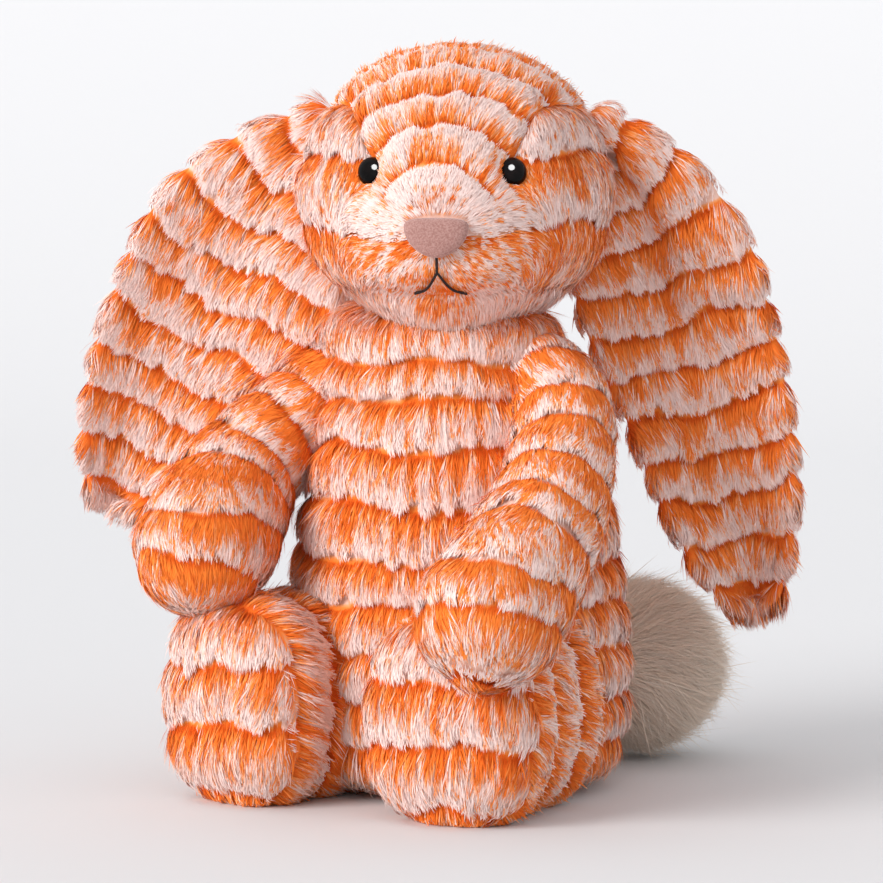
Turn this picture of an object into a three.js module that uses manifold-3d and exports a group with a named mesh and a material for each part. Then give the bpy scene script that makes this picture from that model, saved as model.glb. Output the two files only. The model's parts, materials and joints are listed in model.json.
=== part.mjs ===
// Plush bunny that sits with its legs forward. Millimetres, +Z up, the bunny faces -Y, its left is +X.
// The origin is on the flat seat, under the middle of the body.
import * as THREE from 'three';
import { mergeVertices } from 'three/addons/utils/BufferGeometryUtils.js';
import loadManifold from 'manifold-3d';

const wasm = await loadManifold();
wasm.setup();

// Clearances and walls
const GAP = 0.35;
const COVER_WALL = 6;
const SOCKET_WALL = 3;
const ARM_CLEARANCE = 0.7;

// Body: a pear with a flat seat
const SEAT_RADIUS = 33;
const BELLY_RADIUS = 47;
const BELLY_HEIGHT = 32;
const CHEST_RADIUS = 38;
const CHEST_HEIGHT = 96;
const NECK_RADIUS = 27;
const NECK_HEIGHT = 124;
const BODY_CROWN = 12;
const SEAT_FLARE = 0.78;
const SEAT_FLARE_HEIGHT = 0.25;
const FLANK_FULLNESS = 1.5;
const SEAT_EDGE_MARGIN = 0.5;
const BODY_DEPTH_RATIO = 0.96;

// Neck plug
const NECK_PLUG_RADIUS = 13;
const NECK_PLUG_DEPTH = 20;

// Pellet pouch in the seat
const POUCH_HALF_WIDTH = 22;
const POUCH_HALF_DEPTH = 13;
const POUCH_HALF_HEIGHT = 7;
const POUCH_SETBACK = 22;

// Head: a ball with muzzle and cheeks, turned towards the bunny's left
const HEAD_CENTRE_HEIGHT = 162;
const HEAD_HALF_WIDTH = 42;
const HEAD_HALF_DEPTH = 39;
const HEAD_HALF_HEIGHT = 40;
const HEAD_SEAT_RADIUS = 40.5;
const HEAD_SEAT_DROP = 0.6;
const HEAD_TURN = THREE.MathUtils.degToRad(23);
const MUZZLE_BULGE = 7;
const MUZZLE_SPREAD = 0.62;
const CHEEK_BULGE = 2.5;
const CHEEK_SPREAD = 0.5;
const CHEEK_SIDE_ANGLE = THREE.MathUtils.degToRad(58);
const CHEEK_DOWN_ANGLE = THREE.MathUtils.degToRad(16);
const HEAD_NECK_HOLE_RADIUS = 12;

// Eyes: domes on shanks, locked by washers
const EYE_RADIUS = 4.5;
const EYE_DOME_HEIGHT = 3.4;
const EYE_RIM = 0.8;
const EYE_DOME_STEPS = 4;
const EYE_SINK = 3.4;
const EYE_SIDE_ANGLE = THREE.MathUtils.degToRad(29);
const EYE_UP_ANGLE = THREE.MathUtils.degToRad(7.5);
const SHANK_RADIUS = 1.6;
const SHANK_LENGTH = 10;
const WASHER_RADIUS = 5.5;
const WASHER_THICKNESS = 1.4;

// Nose pad and mouth thread
const NOSE_HALF_WIDTH = 8.3;
const NOSE_HEIGHT = 10.6;
const NOSE_THICKNESS = 4;
const NOSE_SINK = 2.6;
const NOSE_CORNER = 3;
const NOSE_SHOULDER = 0.3;
const NOSE_POINT = 0.4;
const NOSE_CURVE_STEPS = 5;
const NOSE_DOWN_ANGLE = THREE.MathUtils.degToRad(15);
const MOUTH_THREAD_RADIUS = 0.7;
const MOUTH_THREAD_LIFT = 0.55;
const MOUTH_SWAG = 0.45;
const MOUTH_STEM_TOP_ANGLE = THREE.MathUtils.degToRad(24.5);
const MOUTH_FORK_ANGLE = THREE.MathUtils.degToRad(29);
const MOUTH_CORNER_DOWN_ANGLE = THREE.MathUtils.degToRad(34.5);
const MOUTH_CORNER_SIDE_ANGLE = THREE.MathUtils.degToRad(9.5);

// Ears: two panels sewn at the rim, hung from a flat root in the side of the head
const EAR_ROOT_SIDE = 36;
const EAR_ROOT_BACK = 6;
const EAR_ROOT_UP = 15;
const EAR_ROOT_RADIUS = 10;
const EAR_HALF_WIDTH = 23.5;
const EAR_PANEL_THICKNESS = 4.4;
const EAR_CUP = 6;
const EAR_FULL_AT = 0.33;
const EAR_TIP_START = 0.42;
const EAR_TIP_BLUNTNESS = 2.6;
const EAR_CUP_START = 0.12;
const EAR_CUP_FULL = 0.4;
const EAR_DOME_FULLNESS = 0.6;
const EAR_ROW_CROWDING = 1.25;
const LEFT_EAR_PATH = [[14, 4, -14], [26, 18, -57], [45, 22, -135]];
const RIGHT_EAR_PATH = [[15, 1, -11], [39, 13, -51], [66, 31, -109]];

// Arms: bent tubes with round paws
const SHOULDER_HEIGHT = 105;
const SHOULDER_OUTSET = 2;
const SHOULDER_FORWARD_ANGLE = THREE.MathUtils.degToRad(12);
const ARM_ROOT_RADIUS = 13.5;
const ARM_RADIUS = 14.5;
const PAW_RADIUS = 19;
const ARM_SHAFT_AT = 0.4;
const PAW_START = 0.35;
const LEFT_ARM_PATH = [[11, -26, -24], [13, -62, -49]];
const RIGHT_ARM_PATH = [[13, -20, -18], [11, -46, -38]];
const ARM_NECK_RADIUS = 6.5;
const LEFT_PAW_REST = new THREE.Vector3(0.46, -0.41, 0.79).normalize();
const RIGHT_PAW_REST = new THREE.Vector3(-0.36, -0.11, 0.93).normalize();

// Legs: stubby tubes closed by a sole panel
const HIP_SPREAD = 27;
const HIP_FORWARD = 20;
const HIP_HEIGHT = 26.5;
const HIP_RADIUS = 24;
const LEFT_LEG_SPLAY = THREE.MathUtils.degToRad(6);
const RIGHT_LEG_SPLAY = THREE.MathUtils.degToRad(-14);
const LEG_REACH = 47;
const LEG_HALF_WIDTH = 23;
const LEG_HALF_HEIGHT = 27.5;
const LEG_WAIST = 0.95;
const LEG_WAIST_AT = 0.55;
const SOLE_THICKNESS = 7;
const SOLE_ROUNDING = 13;
const SOLE_FULLNESS = 2.4;
const LEG_SQUARENESS = 2.5;
const LEG_SWING = THREE.MathUtils.degToRad(25);
const LEG_SWING_STEPS = 3;

// Tail: a ball of long pile on a small root
const TAIL_RADIUS = 26;
const TAIL_HEIGHT = 27;
const TAIL_SIDE_ANGLE = THREE.MathUtils.degToRad(16);
const TAIL_ROOT_RADIUS = 8;
const TAIL_STANDOFF = 3;
const TAIL_NECK_RADIUS = 4.5;

// Facets: sides around, rows along, and steps in a round end
const ARM = { sides: 14, rows: 5, cap: 3 };
const LIMB_LINING = { sides: 8, rows: 3, cap: 2 };
const BODY = { sides: 20, rows: 9, cap: 2 };
const BODY_LINING = { sides: 10, rows: 6, cap: 2 };
const HEAD = { sides: 22, rows: 13 };
const HEAD_LINING = { sides: 10, rows: 7 };
const LEG = { sides: 16, cap: 3 };
const EAR = { sides: 12, rows: 8, cap: 2 };
const TAIL = { sides: 12, rows: 9 };
const SOCKET = { sides: 10, rows: 7 };
const HIDDEN_SOCKET = { sides: 8, rows: 5 };
const NECK_SEAT = { sides: 18, rows: 12 };
const SMALL_SIDES = 10;
const THREAD_SIDES = 5;

const SIDES = [['left', 1], ['right', -1]];

// Finishes
const finish = (color, roughness) => new THREE.MeshStandardMaterial({ color, roughness, metalness: 0 });
const stripedFur = finish(0xf2a06c, 0.95);
const creamFur = finish(0xe9ddd2, 0.95);
const fibreFill = finish(0xf4f2ee, 1);
const pouchCloth = finish(0xd9d4cc, 0.9);
const blackPlastic = finish(0x0b0a0a, 0.12);
const clearPlastic = finish(0xdedede, 0.4);
const noseVelour = finish(0xbb948e, 0.9);
const blackThread = finish(0x1a1414, 0.8);

// Makes a solid from a closed geometry, with its faces turned outwards.
function solidOf(geometry) {
  const bare = new THREE.BufferGeometry();
  bare.setAttribute('position', geometry.getAttribute('position'));
  bare.setIndex(geometry.getIndex());
  const merged = mergeVertices(bare, 1e-4);
  const vertices = new Float32Array(merged.getAttribute('position').array);
  const corners = merged.getIndex().array;
  const triangles = [];
  let sixVolumes = 0;
  for (let i = 0; i < corners.length; i += 3) {
    const [a, b, c] = [corners[i], corners[i + 1], corners[i + 2]];
    if (a !== b && b !== c && c !== a) {
      triangles.push(a, b, c);
      const [p, q, r] = [a, b, c].map((k) => new THREE.Vector3().fromArray(vertices, 3 * k));
      sixVolumes += p.dot(q.cross(r));
    }
  }
  if (sixVolumes < 0) {
    triangles.reverse();
  }
  const mesh = new wasm.Mesh({ numProp: 3, vertProperties: vertices, triVerts: new Uint32Array(triangles) });
  return new wasm.Manifold(mesh);
}

// Adds a solid, made in the frame of the whole bunny, to a group that has a place of its own.
function addPiece(group, name, solid, material) {
  const { vertProperties, triVerts } = solid.getMesh();
  const geometry = new THREE.BufferGeometry();
  geometry.setAttribute('position', new THREE.BufferAttribute(new Float32Array(vertProperties), 3));
  geometry.setIndex(new THREE.BufferAttribute(new Uint32Array(triVerts), 1));
  group.updateWorldMatrix(true, false);
  geometry.applyMatrix4(group.matrixWorld.clone().invert());
  geometry.computeVertexNormals();
  const mesh = new THREE.Mesh(geometry, material);
  mesh.name = name;
  group.add(mesh);
}

function addGroup(parent, position, turn = 0) {
  const group = new THREE.Group();
  group.position.copy(position);
  group.rotation.z = turn;
  parent.add(group);
  group.updateWorldMatrix(true, false);
  return group;
}

// A ball whose flats all lie outside the radius, so that it clears a ball of that radius.
function clearBall(centre, radius, { sides, rows }) {
  const flat = Math.cos(Math.PI / sides) * Math.cos(Math.PI / 2 / rows);
  const geometry = new THREE.SphereGeometry(radius / flat, sides, rows);
  return solidOf(geometry.translate(centre.x, centre.y, centre.z));
}

// A ball whose corners all lie on the radius, so that it turns freely in a clear ball of that radius.
function ballAt(centre, radius, { sides, rows }) {
  const geometry = new THREE.SphereGeometry(radius, sides, rows);
  return solidOf(geometry.translate(centre.x, centre.y, centre.z));
}

// A round bar between two points.
function bar(from, to, radius, sides = SMALL_SIDES) {
  const along = to.clone().sub(from);
  const geometry = new THREE.CylinderGeometry(radius, radius, along.length(), sides);
  geometry.applyQuaternion(new THREE.Quaternion().setFromUnitVectors(up(), along.clone().normalize()));
  const middle = from.clone().add(to).multiplyScalar(0.5);
  return solidOf(geometry.translate(middle.x, middle.y, middle.z));
}

// The axis that lathed and cylinder geometries are made around.
function up() {
  return new THREE.Vector3(0, 1, 0);
}

// Sweeps a lathed profile along frames: the profile's height is the distance along the path.
function sweep(profile, sides, frameAt, sectionAt) {
  const geometry = new THREE.LatheGeometry(profile, sides);
  const position = geometry.getAttribute('position');
  for (let i = 0; i < position.count; i += 1) {
    const along = position.getY(i);
    const radius = Math.hypot(position.getX(i), position.getZ(i));
    const angle = Math.atan2(position.getZ(i), position.getX(i));
    const { point, across, normal } = frameAt(along);
    const [sideways, outwards] = sectionAt(angle, radius, along);
    point.addScaledVector(across, sideways).addScaledVector(normal, outwards);
    position.setXYZ(i, point.x, point.y, point.z);
  }
  return solidOf(geometry);
}

// Frames along a curve, carried on straight past both ends.
function framesOf(curve, facing) {
  const length = curve.getLength();
  return (along) => {
    const share = THREE.MathUtils.clamp(along / length, 0, 1);
    const tangent = curve.getTangentAt(share);
    const point = curve.getPointAt(share).addScaledVector(tangent, along - share * length);
    const normal = facing.clone().addScaledVector(tangent, -facing.dot(tangent)).normalize();
    return { point, across: tangent.clone().cross(normal), normal };
  };
}

const roundSection = (angle, radius) => [radius * Math.cos(angle), radius * Math.sin(angle)];

// Points of a quarter round that closes on the axis: from the rim outwards, or from the axis to the rim.
function capPoints(radius, height, steps, power = 2) {
  return Array.from({ length: steps }, (unused, i) => {
    const angle = (Math.PI / 2) * ((i + 1) / steps);
    const rise = Math.sin(angle);
    return [i === steps - 1 ? 0 : radius * (1 - rise ** power) ** (1 / power), height * rise];
  });
}

// The body's half profile, from the seat to the crown, drawn in by a distance.
function bodyProfile(inset, { rows, cap }) {
  const flareRadius = THREE.MathUtils.lerp(SEAT_RADIUS, BELLY_RADIUS, SEAT_FLARE);
  const curve = new THREE.SplineCurve([
    new THREE.Vector2(SEAT_RADIUS, 0),
    new THREE.Vector2(flareRadius, BELLY_HEIGHT * SEAT_FLARE_HEIGHT),
    new THREE.Vector2(BELLY_RADIUS, BELLY_HEIGHT),
    new THREE.Vector2((BELLY_RADIUS + CHEST_RADIUS) / 2 + FLANK_FULLNESS, (BELLY_HEIGHT + CHEST_HEIGHT) / 2),
    new THREE.Vector2(CHEST_RADIUS, CHEST_HEIGHT),
    new THREE.Vector2(NECK_RADIUS, NECK_HEIGHT),
  ]);
  const points = Array.from({ length: rows + 1 }, (unused, i) => {
    const tangent = curve.getTangent(i / rows);
    const point = curve.getPoint(i / rows);
    return new THREE.Vector2(point.x - tangent.y * inset, point.y + tangent.x * inset);
  });
  const sides = points.filter((point) => point.y > inset + SEAT_EDGE_MARGIN);
  const seat = inset > 0 ? sides[0].x - inset / 2 : SEAT_RADIUS;
  const top = sides.at(-1);
  const crown = capPoints(top.x, BODY_CROWN, cap)
    .map(([radius, rise]) => new THREE.Vector2(radius, top.y + rise));
  return [new THREE.Vector2(0, inset), new THREE.Vector2(seat, inset), ...sides, ...crown];
}

function bodyForm(inset, facets) {
  const geometry = new THREE.LatheGeometry(bodyProfile(inset, facets), facets.sides);
  geometry.rotateX(Math.PI / 2);
  return solidOf(geometry.scale(1, BODY_DEPTH_RATIO, 1));
}

// The body's radius at a height.
function bodyRadiusAt(height) {
  const points = bodyProfile(0, BODY);
  const k = points.findIndex((point, i) => i > 1 && point.y >= height);
  const share = (height - points[k - 1].y) / (points[k].y - points[k - 1].y);
  return THREE.MathUtils.lerp(points[k - 1].x, points[k].x, share);
}

// A point on the body's side, at a turn from straight left (+X) towards the back.
function onBody(height, turn, outset) {
  const radius = bodyRadiusAt(height) + outset;
  return new THREE.Vector3(radius * Math.cos(turn), radius * BODY_DEPTH_RATIO * Math.sin(turn), height);
}

const headCentre = new THREE.Vector3(0, 0, HEAD_CENTRE_HEIGHT);

// A unit direction in the head's own frame, from a turn towards its left and a rise above its middle.
function faceDirection(side, rise) {
  return new THREE.Vector3(Math.sin(side) * Math.cos(rise), -Math.cos(side) * Math.cos(rise), Math.sin(rise));
}

const bump = (direction, towards, spread) => Math.exp(-((direction.angleTo(towards) / spread) ** 2));

// Distance from the head's middle to its surface.
function headRadius(direction) {
  const { x, y, z } = direction;
  const stretched = Math.hypot(x / HEAD_HALF_WIDTH, y / HEAD_HALF_DEPTH, z / HEAD_HALF_HEIGHT);
  const muzzle = MUZZLE_BULGE * bump(direction, faceDirection(0, -NOSE_DOWN_ANGLE), MUZZLE_SPREAD);
  const cheeks = SIDES.reduce((sum, [, side]) => {
    const towards = faceDirection(side * CHEEK_SIDE_ANGLE, -CHEEK_DOWN_ANGLE);
    return sum + CHEEK_BULGE * bump(direction, towards, CHEEK_SPREAD);
  }, 0);
  const seatLimit = HEAD_SEAT_RADIUS + Math.max(0, z + HEAD_SEAT_DROP) * HEAD_HALF_HEIGHT;
  return Math.min(1 / stretched + muzzle + cheeks, seatLimit);
}

// The head's form in its own frame, drawn in by a distance.
function headForm(inset, { sides, rows }) {
  const geometry = new THREE.SphereGeometry(1, sides, rows);
  geometry.rotateX(Math.PI / 2);
  const position = geometry.getAttribute('position');
  for (let i = 0; i < position.count; i += 1) {
    const direction = new THREE.Vector3().fromBufferAttribute(position, i).normalize();
    direction.multiplyScalar(headRadius(direction) - inset);
    position.setXYZ(i, direction.x, direction.y, direction.z);
  }
  return solidOf(geometry);
}

const onHead = (direction, sink) => direction.clone().multiplyScalar(headRadius(direction) - sink);

// Turns and moves a solid of the head's frame into the frame of the whole bunny.
function withHead(solid) {
  const place = new THREE.Matrix4().makeRotationZ(HEAD_TURN).setPosition(headCentre);
  return solid.transform(place.elements);
}

// A lathed piece of profile [radius, rise] pairs, standing on a point of the head along a direction.
function studOnHead(direction, sink, pairs) {
  const profile = pairs.map(([radius, rise]) => new THREE.Vector2(radius, rise));
  const geometry = new THREE.LatheGeometry(profile, SMALL_SIDES);
  geometry.applyQuaternion(new THREE.Quaternion().setFromUnitVectors(up(), direction));
  const base = onHead(direction, sink);
  return solidOf(geometry.translate(base.x, base.y, base.z));
}

// The nose's rounded triangle, grown by a distance, as a slab that stands out of the face.
function noseSlab(grow, thickness, sink) {
  const half = NOSE_HALF_WIDTH + grow;
  const top = NOSE_HEIGHT / 2 + grow;
  const corner = NOSE_CORNER + grow;
  const shape = new THREE.Shape();
  shape.moveTo(-half + corner, top);
  shape.lineTo(half - corner, top);
  shape.quadraticCurveTo(half, top, half - corner * NOSE_SHOULDER, top - corner);
  shape.lineTo(corner, -top + corner * NOSE_POINT);
  shape.quadraticCurveTo(0, -top - corner * NOSE_POINT, -corner, -top + corner * NOSE_POINT);
  shape.lineTo(-half + corner * NOSE_SHOULDER, top - corner);
  shape.quadraticCurveTo(-half, top, -half + corner, top);
  const options = { depth: thickness, bevelEnabled: false, curveSegments: NOSE_CURVE_STEPS };
  const geometry = new THREE.ExtrudeGeometry(shape, options);
  geometry.rotateX(Math.PI / 2 - NOSE_DOWN_ANGLE);
  const base = onHead(faceDirection(0, -NOSE_DOWN_ANGLE), sink);
  return solidOf(geometry.translate(base.x, base.y, base.z));
}

// The mouth's thread, laid on the face: a stem under the nose that forks to the two corners.
function mouthThread() {
  const radius = MOUTH_THREAD_RADIUS;
  const spot = (side, down) => onHead(faceDirection(side, -down), -MOUTH_THREAD_LIFT);
  const fork = spot(0, MOUTH_FORK_ANGLE);
  const stem = [spot(0, MOUTH_STEM_TOP_ANGLE), fork];
  const arms = SIDES.map(([, side]) => [
    fork,
    spot(side * MOUTH_CORNER_SIDE_ANGLE * MOUTH_SWAG, (MOUTH_FORK_ANGLE + MOUTH_CORNER_DOWN_ANGLE * 2) / 3),
    spot(side * MOUTH_CORNER_SIDE_ANGLE, MOUTH_CORNER_DOWN_ANGLE),
  ]);
  const knot = ballAt(fork, radius, { sides: THREAD_SIDES + 2, rows: THREAD_SIDES });
  const ahead = new THREE.Vector3(0, -1, 0);
  return [stem, ...arms].reduce((thread, points) => {
    const curve = new THREE.CatmullRomCurve3(points);
    const length = curve.getLength();
    const profile = [[0, 0], [radius, 0], [radius, length / 2], [radius, length], [0, length]];
    const vectors = profile.map(([distance, along]) => new THREE.Vector2(distance, along));
    return thread.add(sweep(vectors, THREAD_SIDES, framesOf(curve, ahead), roundSection));
  }, knot);
}

// An ear's middle line, from its root in the side of the head, in the head's frame.
function earCurve(side, offsets) {
  const root = new THREE.Vector3(side * EAR_ROOT_SIDE, EAR_ROOT_BACK, EAR_ROOT_UP);
  const points = offsets.map(([out, back, rise]) => new THREE.Vector3(side * out, back, rise).add(root));
  return new THREE.CatmullRomCurve3([root, ...points]);
}

// One panel of an ear: a leaf that is flat on the seam side, domed on the other, and cupped forwards.
function earPanel(curve, face) {
  const length = curve.getLength();
  const rootCap = capPoints(EAR_ROOT_RADIUS, EAR_ROOT_RADIUS, EAR.cap).reverse();
  const halfWidthAt = (share) => {
    const grown = THREE.MathUtils.smoothstep(share, 0, EAR_FULL_AT);
    const width = THREE.MathUtils.lerp(EAR_ROOT_RADIUS, EAR_HALF_WIDTH, grown);
    const tip = Math.max(0, (share - EAR_TIP_START) / (1 - EAR_TIP_START));
    return width * Math.sqrt(1 - tip ** EAR_TIP_BLUNTNESS);
  };
  const profile = [
    ...rootCap.map(([radius, depth]) => new THREE.Vector2(radius, -depth)),
    ...Array.from({ length: EAR.rows + 1 }, (unused, i) => {
      const share = 1 - (1 - i / EAR.rows) ** EAR_ROW_CROWDING;
      return new THREE.Vector2(i === EAR.rows ? 0 : halfWidthAt(share), share * length);
    }),
  ];
  const section = (angle, radius, along) => {
    const share = THREE.MathUtils.clamp(along / length, 0, 1);
    const full = Math.sqrt(Math.min(1, radius / EAR_ROOT_RADIUS));
    const cupped = THREE.MathUtils.smoothstep(share, EAR_CUP_START, EAR_CUP_FULL);
    const cup = EAR_CUP * cupped * (radius / EAR_HALF_WIDTH);
    const dome = EAR_PANEL_THICKNESS * full * Math.max(0, face * Math.sin(angle)) ** EAR_DOME_FULLNESS;
    return [radius * Math.cos(angle), cup * Math.cos(angle) ** 2 + face * (GAP / 2 + dome)];
  };
  const ordered = face > 0 ? profile : profile.reverse();
  return sweep(ordered, EAR.sides, framesOf(curve, new THREE.Vector3(0, -1, 0)), section);
}

// An arm's profile: a round root, a shaft and a round end, drawn in by a distance.
function armProfile(length, inset, { rows, cap }) {
  const rootRadius = ARM_ROOT_RADIUS - inset;
  const pawRadius = PAW_RADIUS - inset;
  const root = capPoints(rootRadius, rootRadius, cap).reverse();
  const end = capPoints(pawRadius, pawRadius, cap);
  const shaft = Array.from({ length: rows + 1 }, (unused, i) => {
    const share = i / rows;
    const upper = THREE.MathUtils.lerp(ARM_ROOT_RADIUS, ARM_RADIUS, Math.min(1, share / ARM_SHAFT_AT));
    const radius = THREE.MathUtils.lerp(upper, PAW_RADIUS, THREE.MathUtils.smoothstep(share, PAW_START, 1));
    return [radius - inset, share * length];
  });
  return [
    ...root.map(([radius, depth]) => new THREE.Vector2(radius, -depth)),
    ...shaft.map(([radius, along]) => new THREE.Vector2(radius, along)),
    ...end.map(([radius, rise]) => new THREE.Vector2(radius, length + rise)),
  ];
}

function armForm(curve, inset, facets) {
  const frames = framesOf(curve, new THREE.Vector3(0, 0, 1));
  return sweep(armProfile(curve.getLength(), inset, facets), facets.sides, frames, roundSection);
}

// A leg's form along its own axis, with a rounded, slightly square section.
function legForm(group, inset, { sides, cap }) {
  const scale = (LEG_HALF_WIDTH - inset) / LEG_HALF_WIDTH;
  const front = LEG_REACH - inset - SOLE_ROUNDING * scale;
  const root = capPoints(1, LEG_HALF_WIDTH - inset, cap).reverse();
  const end = capPoints(1, SOLE_ROUNDING * scale, cap + 1, SOLE_FULLNESS);
  const profile = [
    ...root.map(([share, depth]) => new THREE.Vector2(share, -depth)),
    new THREE.Vector2(1, 0),
    new THREE.Vector2(LEG_WAIST, front * LEG_WAIST_AT),
    new THREE.Vector2(1, front),
    ...end.map(([share, rise]) => new THREE.Vector2(share, front + rise)),
  ];
  const frameAt = (along) => ({
    point: new THREE.Vector3(0, -along, 0),
    across: new THREE.Vector3(1, 0, 0),
    normal: new THREE.Vector3(0, 0, 1),
  });
  const section = (angle, share) => {
    const [c, s] = [Math.cos(angle), Math.sin(angle)];
    const reach = (Math.abs(c) ** LEG_SQUARENESS + Math.abs(s) ** LEG_SQUARENESS) ** (-1 / LEG_SQUARENESS);
    return [share * reach * c * (LEG_HALF_WIDTH - inset), share * reach * s * (LEG_HALF_HEIGHT - inset)];
  };
  const solid = sweep(profile, sides, frameAt, section).transform(group.matrixWorld.elements);
  return solid.trimByPlane([0, 0, 1], inset);
}

const bunny = new THREE.Group();

// Room that one solid sweeps as it swings about the cross axis through a pivot, up to an angle.
function sweptRoom(solid, pivot, angle) {
  const there = new THREE.Matrix4().makeTranslation(pivot);
  const back = new THREE.Matrix4().makeTranslation(pivot.clone().negate());
  return wasm.Manifold.union(Array.from({ length: LEG_SWING_STEPS + 1 }, (unused, i) => {
    const turn = new THREE.Matrix4().makeRotationX((angle * i) / LEG_SWING_STEPS);
    return solid.transform(there.clone().multiply(turn).multiply(back).elements);
  }));
}

// How far a solid reaches in a direction.
function reachOf(solid, direction) {
  const { vertProperties } = solid.getMesh();
  let reach = -Infinity;
  for (let i = 0; i < vertProperties.length; i += 3) {
    reach = Math.max(reach, new THREE.Vector3().fromArray(vertProperties, i).dot(direction));
  }
  return reach;
}

// Places of the joints
const headGroup = addGroup(bunny, headCentre, HEAD_TURN);
const tailRoot = onBody(TAIL_HEIGHT, Math.PI / 2 - TAIL_SIDE_ANGLE, 0);
const tailGroup = addGroup(bunny, tailRoot);
const limbs = SIDES.map(([label, side]) => {
  const turn = side > 0 ? -SHOULDER_FORWARD_ANGLE : Math.PI + SHOULDER_FORWARD_ANGLE;
  const shoulder = onBody(SHOULDER_HEIGHT, turn, SHOULDER_OUTSET);
  const hip = new THREE.Vector3(side * HIP_SPREAD, -HIP_FORWARD, HIP_HEIGHT);
  const armOffsets = side > 0 ? LEFT_ARM_PATH : RIGHT_ARM_PATH;
  const armPoints = armOffsets
    .map(([out, ahead, rise]) => new THREE.Vector3(side * out, ahead, rise).add(shoulder));
  return {
    label,
    side,
    shoulder,
    hip,
    armCurve: new THREE.CatmullRomCurve3([shoulder, ...armPoints]),
    earCurve: earCurve(side, side > 0 ? LEFT_EAR_PATH : RIGHT_EAR_PATH),
    pawRest: side > 0 ? LEFT_PAW_REST : RIGHT_PAW_REST,
    armGroup: addGroup(bunny, shoulder),
    legGroup: addGroup(bunny, hip, side > 0 ? LEFT_LEG_SPLAY : RIGHT_LEG_SPLAY),
  };
});

// Balls in which the limbs, the tail and the head turn, grown by a distance
function socketBalls(grow, facets) {
  const balls = limbs.flatMap(({ shoulder, hip }) => [
    clearBall(shoulder, ARM_ROOT_RADIUS + grow, facets),
    clearBall(hip, HIP_RADIUS + grow, facets),
  ]);
  balls.push(clearBall(tailRoot, TAIL_ROOT_RADIUS + grow, facets));
  return wasm.Manifold.union(balls);
}

const headBall = (grow, facets) => clearBall(headCentre, HEAD_SEAT_RADIUS + grow, facets);

// Body
const plugBottom = new THREE.Vector3(0, 0, HEAD_CENTRE_HEIGHT - HEAD_SEAT_RADIUS - NECK_PLUG_DEPTH);
const neckPlug = bar(plugBottom, headCentre, NECK_PLUG_RADIUS, BODY.sides).subtract(headBall(GAP, NECK_SEAT));
const boreBottom = plugBottom.clone().setZ(plugBottom.z - GAP);
const neckBore = bar(boreBottom, headCentre, NECK_PLUG_RADIUS + 2 * GAP, BODY.sides);
const bodySolid = bodyForm(0, BODY).subtract(socketBalls(GAP, SOCKET)).subtract(headBall(GAP, NECK_SEAT));
const pouchPlace = [0, POUCH_SETBACK, COVER_WALL + 2 * GAP + POUCH_HALF_HEIGHT];
const pouchBall = (grow) => solidOf(new THREE.SphereGeometry(1, BODY_LINING.sides, BODY_LINING.rows)
  .scale(POUCH_HALF_WIDTH + grow, POUCH_HALF_DEPTH + grow, POUCH_HALF_HEIGHT + grow)
  .translate(...pouchPlace));
const bodyRoom = (gaps) => bodyForm(COVER_WALL + gaps, BODY_LINING)
  .subtract(socketBalls(GAP + gaps + SOCKET_WALL, HIDDEN_SOCKET))
  .subtract(headBall(GAP + gaps + SOCKET_WALL, HIDDEN_SOCKET));
const bodyFill = bodyRoom(GAP).subtract(neckBore).subtract(pouchBall(2 * GAP));
addPiece(bunny, 'body_cover', bodySolid.subtract(bodyRoom(0)).subtract(neckBore), stripedFur);
addPiece(bunny, 'body_stuffing', bodyFill, fibreFill);
addPiece(bunny, 'bean_pouch', pouchBall(0).intersect(bodyRoom(2 * GAP)), pouchCloth);
addPiece(bunny, 'neck_stuffing', neckPlug, fibreFill);

// Head, with a slot on each side for the ear's flat root
const earSlot = (side, grow) => {
  const root = new THREE.Vector3(side * EAR_ROOT_SIDE, EAR_ROOT_BACK, EAR_ROOT_UP);
  const half = new THREE.Vector3(0, EAR_PANEL_THICKNESS + GAP + grow, 0);
  const radius = (EAR_ROOT_RADIUS + GAP + grow) / Math.cos(Math.PI / SOCKET.sides);
  return bar(root.clone().sub(half), root.clone().add(half), radius, SOCKET.sides);
};
const earSlots = (grow) => wasm.Manifold.union(SIDES.map(([, side]) => earSlot(side, grow)));
const eyeDirections = SIDES
  .map(([label, side]) => [label, faceDirection(side * EYE_SIDE_ANGLE, EYE_UP_ANGLE)]);
const eyeProfile = [
  [0, -SHANK_LENGTH], [SHANK_RADIUS, -SHANK_LENGTH], [SHANK_RADIUS, 0],
  [EYE_RADIUS, 0], [EYE_RADIUS, EYE_RIM],
  ...capPoints(EYE_RADIUS, EYE_DOME_HEIGHT - EYE_RIM, EYE_DOME_STEPS)
    .map(([radius, rise]) => [radius, EYE_RIM + rise]),
];
const outside = HEAD_HALF_WIDTH; // far enough to leave the head
const washerTop = EYE_SINK - COVER_WALL;
const washerBottom = washerTop - WASHER_THICKNESS;
const eyePocket = [
  [0, -SHANK_LENGTH - GAP], [WASHER_RADIUS + 2 * GAP, -SHANK_LENGTH - GAP],
  [WASHER_RADIUS + 2 * GAP, washerTop + GAP], [SHANK_RADIUS + 2 * GAP, washerTop + GAP],
  [SHANK_RADIUS + 2 * GAP, -GAP], [EYE_RADIUS + 2 * GAP, -GAP], [EYE_RADIUS + 2 * GAP, outside], [0, outside],
];
const eyePockets = wasm.Manifold.union(
  eyeDirections.map(([, direction]) => studOnHead(direction, EYE_SINK, eyePocket)),
);
const neckHole = (radius) => bar(new THREE.Vector3(), new THREE.Vector3(0, 0, -outside * 2), radius);
const headHollow = headForm(COVER_WALL, HEAD_LINING).subtract(earSlots(SOCKET_WALL));
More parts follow.
